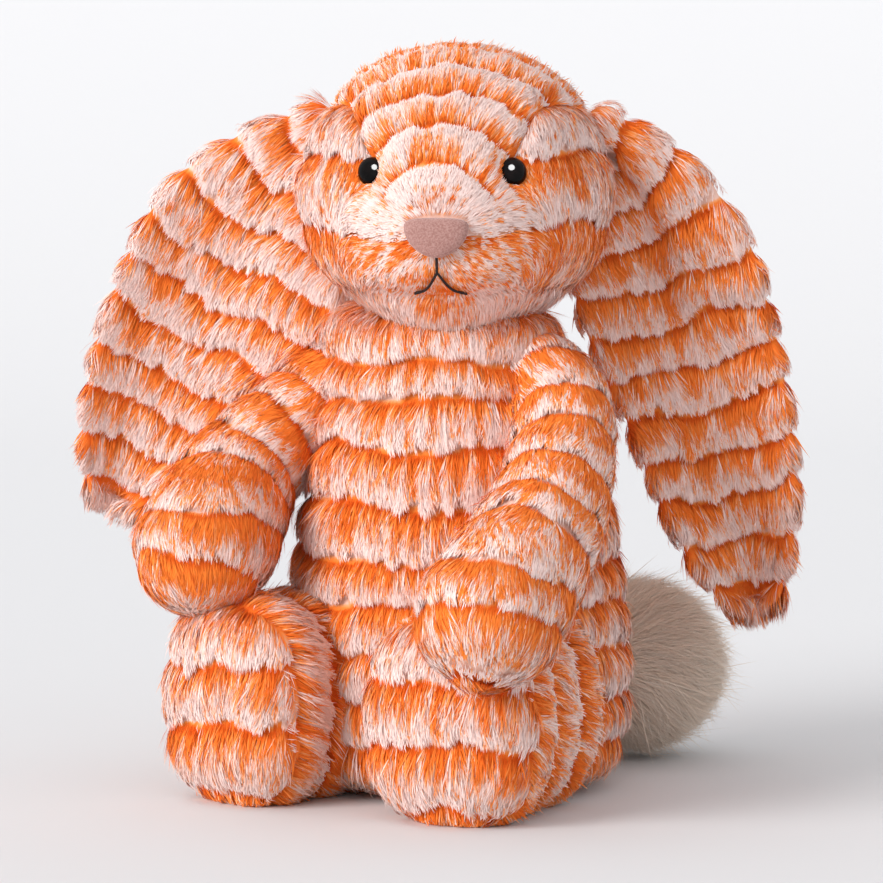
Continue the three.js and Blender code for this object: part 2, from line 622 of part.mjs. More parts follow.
const headCover = headForm(0, HEAD)
  .subtract(earSlots(0))
  .subtract(headHollow)
  .subtract(neckHole(HEAD_NECK_HOLE_RADIUS))
  .subtract(eyePockets)
  .subtract(noseSlab(2 * GAP, outside, NOSE_SINK + GAP));
const headFill = headForm(COVER_WALL + GAP, HEAD_LINING)
  .add(neckHole(HEAD_NECK_HOLE_RADIUS - 2 * GAP).intersect(headForm(GAP, HEAD)))
  .subtract(earSlots(SOCKET_WALL + GAP))
  .subtract(eyePockets);
addPiece(headGroup, 'head_cover', withHead(headCover), stripedFur);
addPiece(headGroup, 'head_stuffing', withHead(headFill), fibreFill);
eyeDirections.forEach(([label, direction]) => {
  const bore = SHANK_RADIUS + 2 * GAP;
  const ring = [
    [bore, washerBottom], [WASHER_RADIUS, washerBottom], [WASHER_RADIUS, washerTop],
    [bore, washerTop], [bore, washerBottom],
  ];
  addPiece(headGroup, `${label}_eye`, withHead(studOnHead(direction, EYE_SINK, eyeProfile)), blackPlastic);
  addPiece(headGroup, `${label}_eye_washer`, withHead(studOnHead(direction, EYE_SINK, ring)), clearPlastic);
});
addPiece(headGroup, 'nose', withHead(noseSlab(0, NOSE_THICKNESS, NOSE_SINK)), noseVelour);
addPiece(headGroup, 'mouth_stitch', withHead(mouthThread()), blackThread);

// Ears
const headAround = headForm(-GAP, HEAD);
limbs.forEach(({ label, side, earCurve: curve }) => {
  const root = new THREE.Vector3(side * EAR_ROOT_SIDE, EAR_ROOT_BACK, EAR_ROOT_UP);
  const earGroup = addGroup(headGroup, root);
  const thickness = new THREE.Vector3(0, EAR_PANEL_THICKNESS + GAP, 0);
  const pin = bar(root.clone().sub(thickness), root.clone().add(thickness), EAR_ROOT_RADIUS, SOCKET.sides);
  const headless = headAround.subtract(pin);
  addPiece(earGroup, `${label}_ear_front`, withHead(earPanel(curve, 1).subtract(headless)), stripedFur);
  addPiece(earGroup, `${label}_ear_back`, withHead(earPanel(curve, -1).subtract(headless)), stripedFur);
});

// Legs, cut by the body outside their hip ball, and closed by a sole panel in front
limbs.forEach(({ label, hip, legGroup }) => {
  const cutByBody = (solid, grow, facets) => {
    const still = bodyForm(-GAP - grow, grow > 0 ? BODY_LINING : BODY);
    const body = sweptRoom(still, hip, -LEG_SWING);
    return solid.subtract(body.subtract(ballAt(hip, HIP_RADIUS - grow, facets)));
  };
  const ahead = new THREE.Vector3(0, -1, 0).applyQuaternion(legGroup.quaternion);
  const back = ahead.clone().negate().toArray();
  const seam = ahead.dot(hip) + LEG_REACH - SOLE_THICKNESS;
  const leg = cutByBody(legForm(legGroup, 0, LEG), 0, SOCKET);
  const hollow = cutByBody(legForm(legGroup, COVER_WALL, LIMB_LINING), SOCKET_WALL, HIDDEN_SOCKET);
  const fill = cutByBody(legForm(legGroup, COVER_WALL + GAP, LIMB_LINING), SOCKET_WALL + GAP, HIDDEN_SOCKET);
  addPiece(legGroup, `${label}_leg_cover`, leg.trimByPlane(back, GAP - seam).subtract(hollow), stripedFur);
  addPiece(legGroup, `${label}_leg_stuffing`, fill.trimByPlane(back, GAP - seam), fibreFill);
  addPiece(legGroup, `${label}_sole`, leg.trimByPlane(ahead.toArray(), seam), stripedFur);
});

// Arms, cut by the body outside their shoulder ball, and flat where the paw rests on the leg
limbs.forEach(({ label, shoulder, hip, armCurve, armGroup, legGroup, pawRest }) => {
  const legRoom = sweptRoom(legForm(legGroup, 0, LEG), hip, LEG_SWING);
  const restDistance = reachOf(legRoom, pawRest) + ARM_CLEARANCE;
  const cutByNeighbours = (solid, grow, facets) => {
    const ball = ballAt(shoulder, ARM_ROOT_RADIUS - grow, facets);
    const body = bodyForm(-ARM_CLEARANCE - grow, grow > 0 ? BODY_LINING : BODY).subtract(ball);
    return solid.subtract(body).trimByPlane(pawRest.toArray(), restDistance + grow);
  };
  const frameAt = framesOf(armCurve, new THREE.Vector3(0, 0, 1));
  const inBody = frameAt(-2 * ARM_ROOT_RADIUS).point;
  const neck = (radius) => bar(inBody, shoulder, radius, LIMB_LINING.sides);
  const arm = cutByNeighbours(armForm(armCurve, 0, ARM), 0, SOCKET);
  const hollow = cutByNeighbours(armForm(armCurve, COVER_WALL, LIMB_LINING), SOCKET_WALL, HIDDEN_SOCKET)
    .add(neck(ARM_NECK_RADIUS));
  const room = armForm(armCurve, COVER_WALL + GAP, LIMB_LINING);
  const fill = cutByNeighbours(room, SOCKET_WALL + GAP, HIDDEN_SOCKET)
    .add(neck(ARM_NECK_RADIUS - GAP).intersect(armForm(armCurve, GAP, ARM)));
  addPiece(armGroup, `${label}_arm_cover`, arm.subtract(hollow), stripedFur);
  addPiece(armGroup, `${label}_arm_stuffing`, fill, fibreFill);
});

// Tail
const tailOut = new THREE.Vector3(Math.sin(TAIL_SIDE_ANGLE), Math.cos(TAIL_SIDE_ANGLE), 0);
const tailCentre = tailRoot.clone().addScaledVector(tailOut, TAIL_RADIUS);
const tailInBody = tailRoot.clone().addScaledVector(tailOut, -2 * TAIL_ROOT_RADIUS);
const tailNeck = (radius) => bar(tailInBody, tailCentre, radius);
const tailRootBall = ballAt(tailRoot, TAIL_ROOT_RADIUS, HIDDEN_SOCKET);
const tailHollow = ballAt(tailCentre, TAIL_RADIUS - COVER_WALL, HIDDEN_SOCKET);
const tailCover = ballAt(tailCentre, TAIL_RADIUS, TAIL)
  .subtract(bodyForm(-TAIL_STANDOFF, BODY))
  .add(tailRootBall)
  .subtract(tailHollow)
  .subtract(tailNeck(TAIL_NECK_RADIUS));
const tailFill = ballAt(tailCentre, TAIL_RADIUS - COVER_WALL - GAP, HIDDEN_SOCKET)
  .add(tailNeck(TAIL_NECK_RADIUS - GAP).intersect(tailRootBall.add(tailHollow)));
addPiece(tailGroup, 'tail_cover', tailCover, creamFur);
addPiece(tailGroup, 'tail_stuffing', tailFill, fibreFill);

export default bunny;
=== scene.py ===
"""Looks of a seated plush bunny.

Striped pile over stuffed panels, button eyes, a velour nose, a thread mouth and a long-haired tail.
Sizes in the classes are millimetres in the part's own frame: +Z up, the bunny faces -Y, its left is +X.
"""

from __future__ import annotations

import json
import logging
import math
from dataclasses import dataclass, field
from enum import Enum
from typing import Callable

import bmesh
import bpy
import numpy as np
from mathutils import Matrix, Vector
from mathutils.bvhtree import BVHTree

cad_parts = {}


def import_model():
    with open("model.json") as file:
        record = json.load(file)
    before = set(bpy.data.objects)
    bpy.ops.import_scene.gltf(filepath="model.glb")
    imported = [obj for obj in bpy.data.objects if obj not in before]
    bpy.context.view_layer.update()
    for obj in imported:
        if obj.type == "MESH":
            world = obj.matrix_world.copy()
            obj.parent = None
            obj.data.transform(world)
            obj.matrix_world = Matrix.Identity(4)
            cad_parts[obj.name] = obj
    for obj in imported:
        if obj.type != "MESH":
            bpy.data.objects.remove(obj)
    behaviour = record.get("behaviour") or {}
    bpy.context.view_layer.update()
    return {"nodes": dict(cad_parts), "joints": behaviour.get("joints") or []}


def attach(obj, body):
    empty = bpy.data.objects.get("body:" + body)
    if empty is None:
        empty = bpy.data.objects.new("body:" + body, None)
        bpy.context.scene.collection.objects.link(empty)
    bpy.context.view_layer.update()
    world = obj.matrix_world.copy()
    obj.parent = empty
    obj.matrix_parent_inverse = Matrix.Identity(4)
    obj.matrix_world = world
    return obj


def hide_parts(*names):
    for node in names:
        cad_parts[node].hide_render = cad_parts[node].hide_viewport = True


LOG = logging.getLogger("bunny")
MM = 0.001
STRAND_MAP = "OFBake"
FLOOR_CLEARANCE = 0.15
Array = np.ndarray


def unit(vectors: Array) -> Array:
    """Vectors brought to a length of one."""
    return vectors / np.maximum(np.linalg.norm(vectors, axis=-1, keepdims=True), 1e-9)


def smoothstep(low: float, high: float, values: Array) -> Array:
    """A soft step from 0 at low to 1 at high."""
    share = np.clip((values - low) / (high - low), 0.0, 1.0)
    return share * share * (3.0 - 2.0 * share)


def along_surface(vectors: Array, normals: Array) -> Array:
    """Unit vectors of the parts that lie along the surface with those normals."""
    return unit(vectors - np.sum(vectors * normals, axis=1, keepdims=True) * normals)


def colour(code: str) -> tuple[float, float, float, float]:
    """A linear colour from an sRGB code of six hexadecimal digits."""
    parts = (int(code[i : i + 2], 16) / 255.0 for i in (0, 2, 4))
    return (*(x / 12.92 if x <= 0.04045 else ((x + 0.055) / 1.055) ** 2.4 for x in parts), 1.0)


def ordered_loops(mesh: bmesh.types.BMesh) -> list[list[int]]:
    """Corner indices of a mesh's faces, sorted, because operators may vary their order from run to run."""
    loops = [[v.index for v in face.verts] for face in mesh.faces]
    starts = [loop.index(min(loop)) for loop in loops]
    return sorted(loop[start:] + loop[:start] for loop, start in zip(loops, starts))


def ball_directions(angle: Array, share: Array) -> Array:
    """Unit directions of a ball's vertices, from angles round its axis and shares along it."""
    around = np.sin(share * math.pi)
    return np.stack([around * np.cos(angle), around * np.sin(angle), -np.cos(share * math.pi)], axis=1)


def tiers_between(edges: Array, places: Array) -> tuple[Array, Array]:
    """Tier numbers and pitches at places along a rising row of tier edges."""
    tiers = np.interp(places, edges, np.arange(len(edges)))
    pitch = np.interp(places, (edges[1:] + edges[:-1]) / 2, np.diff(edges))
    return tiers, pitch


class Wander:
    """Smooth, repeatable unevenness over space: a sum of waves in random directions."""

    def __init__(self, seed: int, size: float, waves: int = 8) -> None:
        """Args: seed: picks the pattern. size: about how far apart its crests lie. waves: how many."""
        rng = np.random.default_rng(seed)
        scale = rng.uniform(0.6, 1.6, (waves, 1)) * 2.0 * math.pi / size
        self.waves = unit(rng.normal(size=(waves, 3))) * scale
        self.phases = rng.uniform(0.0, 2.0 * math.pi, waves)

    def __call__(self, places: Array) -> Array:
        """Values of about -1 to 1 at those places."""
        return np.sin(places @ self.waves.T + self.phases).sum(axis=1) / math.sqrt(2.0 * len(self.phases))


class Outline:
    """A half outline of (radius, height) points, followed by its own length."""

    def __init__(self, points: list[tuple[float, float]]) -> None:
        """Args: points: from the axis at one end to the axis at the other."""
        self.points = np.array(points, float)
        steps = np.linalg.norm(np.diff(self.points, axis=0), axis=1)
        self.lengths = np.concatenate([[0.0], np.cumsum(steps)]) / steps.sum()

    def at(self, share: Array) -> tuple[Array, Array]:
        """Radius and height at shares of the outline's length."""
        return tuple(np.interp(share, self.lengths, self.points[:, k]) for k in (0, 1))


def smooth_line(points: Array, steps: int = 24) -> Array:
    """A smooth line through a few points (centripetal Catmull-Rom).

    Args:
        points: the points, in order.
        steps: pieces between two points.

    Returns:
        The points of the line.
    """
    ends = np.vstack([2 * points[0] - points[1], points, 2 * points[-1] - points[-2]])
    line = [points[:1]]
    share = np.linspace(0.0, 1.0, steps + 1)[1:, None]
    for before, start, stop, after in zip(ends, ends[1:], ends[2:], ends[3:]):
        spans = ((before, start), (start, stop), (stop, after))
        gaps = [math.sqrt(np.linalg.norm(b - a)) for a, b in spans]
        out = (start - before) / gaps[0] - (stop - before) / (gaps[0] + gaps[1]) + (stop - start) / gaps[1]
        into = (stop - start) / gaps[1] - (after - start) / (gaps[1] + gaps[2]) + (after - stop) / gaps[2]
        out, into = out * gaps[1], into * gaps[1]
        square, cube = share**2, share**3
        line.append(
            (2 * cube - 3 * square + 1) * start
            + (cube - 2 * square + share) * out
            + (3 * square - 2 * cube) * stop
            + (cube - square) * into
        )
    return np.vstack(line)


class Path:
    """A smooth line followed by its length, carried on straight past both ends, with a facing side."""

    def __init__(self, points: Array, facing: tuple[float, float, float]) -> None:
        """Args: points: what the line passes through. facing: the way its front looks."""
        self.line = smooth_line(np.asarray(points, float))
        steps = np.linalg.norm(np.diff(self.line, axis=0), axis=1)
        self.lengths = np.concatenate([[0.0], np.cumsum(steps)])
        self.length = float(self.lengths[-1])
        self.tangents = unit(np.gradient(self.line, self.lengths, axis=0))
        self.facing = np.array(facing, float)

    def frames(self, along: Array) -> tuple[Array, Array, Array, Array]:
        """Places, tangents, cross directions and front directions at distances along the line."""
        within = np.clip(along, 0.0, self.length)
        place = np.stack([np.interp(within, self.lengths, x) for x in self.line.T], axis=1)
        tangent = unit(np.stack([np.interp(within, self.lengths, x) for x in self.tangents.T], axis=1))
        place = place + tangent * (along - within)[:, None]
        front = along_surface(np.broadcast_to(self.facing, tangent.shape), tangent)
        return place, tangent, np.cross(tangent, front), front


Shape = Callable[[Array, Array], tuple[Array, Array]]


@dataclass
class Skin:
    """A closed, stuffed shell on which pile grows.

    marks holds, for each vertex, values that say where on its part the vertex lies.
    """

    points: Array
    normals: Array
    triangles: Array
    marks: Array
    tree: BVHTree

    @classmethod
    def loft(cls, around: int, along: int, shape: Shape, inset: float = 0.0) -> Skin:
        """Draws a ball's vertices out to a shape.

        Args:
            around: faces round the shape.
            along: faces from one end to the other.
            shape: gives places and marks from angles round the axis and shares along it.
            inset: how far the skin lies inside the shape.

        Returns:
            The skin.
        """
        ball = bmesh.new()
        bmesh.ops.create_uvsphere(ball, u_segments=around, v_segments=along, radius=1.0)
        unit_points = np.array([v.co for v in ball.verts])
        angle = np.arctan2(unit_points[:, 1], unit_points[:, 0])
        share = np.arccos(np.clip(-unit_points[:, 2], -1.0, 1.0)) / math.pi
        places, marks = shape(angle, share)
        loops = ordered_loops(ball)
        ball.clear()
        corners = [ball.verts.new(place) for place in places]
        for loop in loops:
            ball.faces.new([corners[k] for k in loop])
        ball.verts.index_update()
        ball.normal_update()
        bmesh.ops.recalc_face_normals(ball, faces=ball.faces)
        bmesh.ops.triangulate(ball, faces=ball.faces)
        ball.normal_update()
        if inset:
            inward = [(v, v.co - v.normal * inset) for v in ball.verts]
            for vertex, place in inward:
                vertex.co = place
            ball.normal_update()
        skin = cls(
            points=np.array([v.co for v in ball.verts]),
            normals=np.array([v.normal for v in ball.verts]),
            triangles=np.array(ordered_loops(ball)),
            marks=marks,
            tree=BVHTree.FromBMesh(ball),
        )
        ball.free()
        return skin

    def area(self) -> float:
        """Its area in square millimetres."""
        return float(self.face_areas().sum())

    def face_areas(self) -> Array:
        """Area of each triangle."""
        a, b, c = (self.points[self.triangles[:, k]] for k in range(3))
        return np.linalg.norm(np.cross(b - a, c - a), axis=1) / 2.0

    def scatter(self, count: int, rng: np.random.Generator) -> tuple[Array, Array, Array]:
        """Evenly scattered places on the skin.

        Args:
            count: how many.
            rng: the source of chance.

        Returns:
            Places, normals and marks.
        """
        grown = np.cumsum(self.face_areas())
        chosen = np.searchsorted(grown, (np.arange(count) + rng.random(count)) / count * grown[-1])
        chosen = self.triangles[np.minimum(chosen, len(self.triangles) - 1)]
        a, b = rng.random((2, count))
        outside = a + b > 1.0
        a[outside], b[outside] = 1.0 - a[outside], 1.0 - b[outside]
        weights = np.stack([1.0 - a - b, a, b], axis=1)[:, :, None]
        layers = (self.points, self.normals, self.marks)
        places, normals, marks = ((layer[chosen] * weights).sum(axis=1) for layer in layers)
        return places, unit(normals), marks

    def half(self, normal: Array, offset: float) -> Skin:
        """The part of the skin beyond a plane; nearest() still finds places on all of it."""
        beyond = self.points[self.triangles].mean(axis=1) @ normal > offset
        used, triangles = np.unique(self.triangles[beyond], return_inverse=True)
        triangles = triangles.reshape(-1, 3)
        return Skin(self.points[used], self.normals[used], triangles, self.marks[used], self.tree)

    def nearest(self, places: Array) -> tuple[Array, Array]:
        """The skin's nearest places, and its normals there."""
        found = [self.tree.find_nearest(place)[:2] for place in places.tolist()]
        return np.array([hit[0] for hit in found]), np.array([hit[1] for hit in found])


class Section(Enum):
    """The cross-section of a strand."""

    FLAT = "flat"
    THREE_SIDED = "three-sided"


@dataclass(frozen=True)
class Pile:
    """How a pile fabric is made.

    density is strands per square millimetre; splay, wisp, comb and roll are degrees; overhang is the share
    of a tier by which tips pass its edge; height and bow say how far tips and middles stand off the ground;
    roundness is how far the shading follows each strand's own section instead of the pile's surface;
    crease is the share of the height left at a tier's top; dive is how far roots lie below the tier's
    surface, as a share of the length; tufts stand higher by the share tuft_height, and stray strands too;
    the plurals are ranges of a strand's own share; a tier swells up to swell_end and drops at its edge;
    ground is the woven ground's least height and its rise, as shares of the height.
    """

    density: float
    length: float
    width: float
    height: float
    splay: float = 7.0
    wisp: float = 9.0
    tuft_size: float = 4.6
    tuft_height: float = 0.12
    comb: float = 12.0
    comb_size: float = 20.0
    roll: float = 14.0
    overhang: float = 0.15
    shortest: float = 1.6
    streak: float = 0.36
    streak_size: float = 3.0
    blotch: float = 0.08
    # reddest: the share of a tier's top that alone reaches the deepest stops, which paint the shade in the
    # crease under the tier above as well as the roots' own deep orange.
    reddest: float = 0.14
    sparkle: float = 0.09
    segments: int = 2
    section: Section = Section.FLAT
    bow: float = 0.1
    crease: float = 0.35
    roundness: float = 0.0
    dive: float = 0.1
    stray: float = 0.7
    stray_share: float = 0.06
    lengths: tuple[float, float] = (0.75, 1.15)
    heights: tuple[float, float] = (0.9, 1.06)
    widths: tuple[float, float] = (0.7, 1.3)
    bows: tuple[float, float] = (0.8, 1.2)
    variations: tuple[float, float] = (0.03, 0.97)
    swell_end: float = 0.55
    edge: tuple[float, float] = (0.65, 1.1)
    edge_drop: float = 0.4
    ground: tuple[float, float] = (0.12, 0.38)


@dataclass
class Lay:
    """How pile lies at some places.

    tiers counts the tiers, with the share of the present one as its fraction; reach multiplies length and
    height; tone makes the dye paler; hang is how far tips drop under their own weight.
    """

    tiers: Array
    nap: Array
    pitch: Array
    reach: Array
    tone: Array
    hang: Array | float = 0.0

    @classmethod
    def even(cls, tiers: Array, nap: Array, pitch: float, tone: Array) -> Lay:
        """Pile of one pitch and full reach all over."""
        full = np.ones(len(tiers))
        return cls(tiers, nap, pitch * full, full, tone)


def strand_form(segments: int, section: Section) -> tuple[Array, Array]:
    """One strand of unit length, pointed at its tip.

    Args:
        segments: pieces along its length, two or more for a flat strand.
        section: flat, and pointed at the root too, or three-sided with the flat side up.

    Returns:
        Rows of (share of the half width, the same upwards, share of the length), and triangles.
    """
    form = bmesh.new()
    if section is Section.FLAT:
        bmesh.ops.create_grid(form, x_segments=1, y_segments=segments, size=1.0)
        for end in (-1.0, 1.0):
            pair = [v for v in form.verts if abs(v.co.y - end) < 1e-4]
            bmesh.ops.pointmerge(form, verts=pair, merge_co=(0.0, end, 0.0))
        across, upwards, lengthwise = (1, 0, 0), (0, 0, 1), (0, 0.5, 0)
    else:
        bmesh.ops.create_cone(form, cap_ends=False, segments=3, radius1=1.0, radius2=0.0, depth=2.0)
        for cut in range(1, segments):
            parts = [*form.verts, *form.edges, *form.faces]
            height = -1.0 + 2.0 * cut / segments
            bmesh.ops.bisect_plane(form, geom=parts, plane_co=(0, 0, height), plane_no=(0, 0, 1))
        across, upwards, lengthwise = (1.15, 0, 0), (0, -0.6, 0), (0, 0, 0.5)
    bmesh.ops.triangulate(form, faces=form.faces)
    form.verts.index_update()
    axes = np.array([across, upwards, lengthwise])
    rows = np.array([v.co for v in form.verts]) @ axes.T + (0.0, 0.0, 0.5)
    faces = np.array(ordered_loops(form))
    form.free()
    return rows, faces


@dataclass
class Growth:
    """Vertices, shading normals, triangles and strand-map places that together make one mesh."""

    points: list[Array] = field(default_factory=list)
    normals: list[Array] = field(default_factory=list)
    triangles: list[Array] = field(default_factory=list)
    tones: list[Array] = field(default_factory=list)
    count: int = 0

    def add(self, points: Array, normals: Array, triangles: Array, tones: Array) -> None:
        """Adds vertices, their normals, the triangles between them and their (variation, tone) places."""
        self.points.append(points)
        self.normals.append(normals)
        self.triangles.append(triangles + self.count)
        self.tones.append(tones)
        self.count += len(points)

    def to_object(self, name: str, material: bpy.types.Material) -> bpy.types.Object:
        """Makes a mesh object in metres.

        Args:
            name: the piece's name.
            material: its finish.

        Returns:
            The object, linked to the scene.
        """
        points = np.concatenate(self.points)
        points[:, 2] = np.maximum(points[:, 2], FLOOR_CLEARANCE)
        triangles = np.concatenate(self.triangles)
        tones = np.concatenate(self.tones)
        mesh = bpy.data.meshes.new(name)
        mesh.vertices.add(len(points))
        mesh.vertices.foreach_set("co", (points * MM).astype(np.float32).ravel())
        mesh.loops.add(triangles.size)
        mesh.loops.foreach_set("vertex_index", triangles.astype(np.int32).ravel())
        mesh.polygons.add(len(triangles))
        mesh.polygons.foreach_set("loop_start", np.arange(0, triangles.size, 3, dtype=np.int32))
        mesh.polygons.foreach_set("use_smooth", np.ones(len(triangles), bool))
        layer = mesh.uv_layers.new(name=STRAND_MAP)
        layer.uv.foreach_set("vector", tones[triangles.ravel()].astype(np.float32).ravel())
        mesh.update(calc_edges=True)
        mesh.normals_split_custom_set_from_vertices(np.concatenate(self.normals).tolist())
        mesh.materials.append(material)
        piece = bpy.data.objects.new(name, mesh)
        bpy.context.scene.collection.objects.link(piece)
        return piece


@dataclass
class FurPiece:
    """One stuffed piece with pile: a skin, the way its pile lies, and what it stands for.

    depth is how far the skin lies inside the piece's form; tier edges stray by wobble, and the dye by
    blotches, over about their sizes; free ends keep strands straight past the skin's end.
    """

    name: str
    body: str
    nodes: tuple[str, ...]
    slot: str
    pile: Pile
    seed: int
    fill: float = 0.8
    cell: float = 0.004
    paleness: float = 0.0
    side_kept: tuple[float, float, float] | None = None
    free_ends: bool = False
    depth: float = 2.4
    wobble: float = 2.0
    wobble_size: float = 24.0
    blotch_size: float = 13.0

    def skin(self) -> Skin:
        """The shell under the pile."""
        raise NotImplementedError

    def lay(self, places: Array, normals: Array, marks: Array) -> Lay:
        """How the pile lies at some places of the skin."""
        raise NotImplementedError

    def wobbled(self, places: Array) -> Array:
        """How far tier edges stray at some places."""
        return self.wobble * Wander(self.seed + 2, self.wobble_size)(places)

    def blotches(self, places: Array) -> Array:
        """How much paler or redder than even the dye is at some places."""
        return self.pile.blotch * Wander(self.seed + 3, self.blotch_size)(places)

    def keeps(self, places: Array, marks: Array) -> Array:
        """Which places of the skin grow pile."""
        return np.ones(len(places), bool)

    def relief(self, phase: Array) -> Array:
        """How far a tier stands proud, as a share of its height, from its top (0) to its edge (1)."""
        pile = self.pile
        swell = np.sin(math.pi / 2 * np.clip(phase / pile.swell_end, 0.0, 1.0))
        drop = pile.edge_drop * smoothstep(*pile.edge, phase)
        return pile.crease + (1.0 - pile.crease) * swell - drop

    def ground(self, phase: Array) -> Array:
        """How far the woven ground stands proud, as a share of the pile's height."""
        least, rise = self.pile.ground
        return least + rise * np.sin(math.pi * phase)

    def clears(self, tips: Array) -> Array:
        """Which strand tips may stay where they are."""
        return np.ones(len(tips), bool)

    def strands(self, skin: Skin, rng: np.random.Generator) -> tuple[Array, Array, Array, Array]:
        """Grows the pile.

        Args:
            skin: the shell to grow on.
            rng: the source of chance.

        Returns:
            Vertices, normals, triangles and strand-map places.
        """
        pile = self.pile
        roots, normals, marks = skin.scatter(int(skin.area() * pile.density), rng)
        kept = self.keeps(roots, marks)
        roots, normals, marks = roots[kept], normals[kept], marks[kept]
        lay = self.lay(roots, normals, marks)
        phase = lay.tiers % 1.0
        tops = roots - lay.nap * (phase * lay.pitch)[:, None]
        tufts = Wander(self.seed + 4, pile.tuft_size)(tops)
        past_edge = pile.overhang * (0.8 * tufts + 0.3 * rng.normal(size=len(roots)))
        length = pile.length * lay.reach * rng.uniform(*pile.lengths, len(roots))
        length = np.minimum(length, (1.0 + past_edge - phase) * lay.pitch)
        lives = length > pile.shortest * np.minimum(lay.reach, 1.0)
        hang = np.broadcast_to(lay.hang, length.shape)
        roots, normals, phase, length, tops = (x[lives] for x in (roots, normals, phase, length, tops))
        pitch, tone, nap, reach, tufts, hang = (
            x[lives] for x in (lay.pitch, lay.tone, lay.nap, lay.reach, tufts, hang)
        )

        count = len(roots)
        wisps = pile.wisp * Wander(self.seed + 1, pile.tuft_size)(roots)
        combing = pile.comb * Wander(self.seed + 5, pile.comb_size)(roots)
        turn = np.radians(pile.splay * rng.normal(size=count) + wisps + combing)[:, None]
        lean = np.cos(turn) * nap + np.sin(turn) * np.cross(normals, nap)
        ends = roots + lean * length[:, None]
        under_tips, tip_normals = skin.nearest(ends)
        if self.free_ends:
            pulled = np.linalg.norm(ends - under_tips, axis=1) / length
            free = smoothstep(0.3, 0.5, pulled)[:, None]
            under_tips = under_tips + free * (ends - 0.15 * normals * length[:, None] - under_tips)
            tip_normals = unit(tip_normals + free * (normals - tip_normals))
        end_phase = phase + length / pitch
        height = pile.height * reach
        stray = 1.0 + pile.stray * (rng.random(count) < pile.stray_share) * rng.random(count)
        proud = height * (1.0 + pile.tuft_height * tufts)
        high = proud * self.relief(end_phase) * rng.uniform(*pile.heights, count) * stray
        low = np.maximum(proud * self.relief(phase) - pile.dive * length, 0.0)
        roots = roots + normals * low[:, None]
        tips = under_tips + tip_normals * high[:, None]
        tips[:, 2] -= hang
        clear = self.clears(tips)
        roots, tips, normals, nap, height = (x[clear] for x in (roots, tips, normals, nap, height))
        phase, end_phase, tone, tops, pitch = (x[clear] for x in (phase, end_phase, tone, tops, pitch))

        count = len(roots)
        streaks = Wander(self.seed + 6, pile.streak_size)(tops)
        shift = self.paleness + tone + pile.streak * (streaks + 0.5 * rng.normal(size=count))
        variation = rng.uniform(*pile.variations, count)
        rows, faces = strand_form(pile.segments, pile.section)
        across, upwards, share = (rows[None, :, k : k + 1] for k in range(3))
        lie = unit(tips - roots)
        side = unit(np.cross(lie, normals))
        roll = np.radians(pile.roll) * rng.normal(size=(count, 1))
        side = np.cos(roll) * side + np.sin(roll) * np.cross(lie, side)
        points = roots[:, None] * (1.0 - share) + tips[:, None] * share
        bow = pile.bow * height[:, None, None] * rng.uniform(*pile.bows, (count, 1, 1))
        points = points + bow * 4.0 * share * (1.0 - share) * normals[:, None]
        outline = across * side[:, None] + upwards * np.cross(side, lie)[:, None]
        points = points + pile.width / 2.0 * rng.uniform(*pile.widths, (count, 1, 1)) * outline

        place = phase[:, None] + (end_phase - phase)[:, None] * rows[:, 2]
        step = 0.05
        rise = self.relief(place + step) - self.relief(place - step)
        slope = rise / (2 * step) * (height / pitch)[:, None]
        shading = normals[:, None] - nap[:, None] * slope[:, :, None]
        shading = unit(shading + pile.sparkle * rng.normal(size=(count, 1, 3)))
        along_strand = np.sum(shading * lie[:, None], axis=2, keepdims=True)
        shading = shading - smoothstep(0.4, 0.8, np.abs(along_strand)) * along_strand * lie[:, None]
        shading = unit((1.0 - pile.roundness) * shading + pile.roundness * outline)
        tones = np.empty((count, len(rows), 2))
        tones[:, :, 0] = variation[:, None] + self.cell * rows[:, 0]
        # Only a tier's top reaches the deepest stops: partly the roots' deep orange, partly painted shade
        # in the crease under the tier above.
        dye = np.maximum(place + shift[:, None], np.minimum(place, pile.reddest))
        tones[:, :, 1] = np.clip(dye, 0.01, 0.98) + 0.01 * rows[:, 2]
        triangles = faces[None] + (np.arange(count) * len(rows))[:, None, None]
        return points.reshape(-1, 3), shading.reshape(-1, 3), triangles.reshape(-1, 3), tones.reshape(-1, 2)

    def underlay(self, skin: Skin, rng: np.random.Generator) -> tuple[Array, Array, Array, Array]:
        """The woven ground under the pile.

        Args:
            skin: the shell.
            rng: the source of chance.

        Returns:
            Vertices, normals, triangles and strand-map places.
        """
        lay = self.lay(skin.points, skin.normals, skin.marks)
        phase = lay.tiers % 1.0
        lift = self.pile.height * lay.reach * self.ground(phase)
        tones = np.stack([rng.uniform(0.1, 0.9, len(phase)), np.clip(phase - 0.1, 0.12, 0.6)], axis=1)
        tones[:, 1] += rng.uniform(0.0, 0.05, len(phase))
        return skin.points + skin.normals * lift[:, None], skin.normals, skin.triangles, tones

    def build(self, material: bpy.types.Material) -> bpy.types.Object:
        """Args:
            material: its finish.

        Returns:
            The piece.
        """
        rng = np.random.default_rng(self.seed)
        skin = self.skin()
        if self.side_kept is not None:
            normal = np.array(self.side_kept)
            skin = skin.half(normal, float(skin.points.mean(axis=0) @ normal))
        growth = Growth()
        growth.add(*self.underlay(skin, rng))
        growth.add(*self.strands(skin, rng))
        piece = growth.to_object(self.name, material)
        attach(piece, self.body)
        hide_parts(*self.nodes)
        LOG.info("%s: %d triangles on %s", self.name, len(piece.data.polygons), self.body)
        return piece


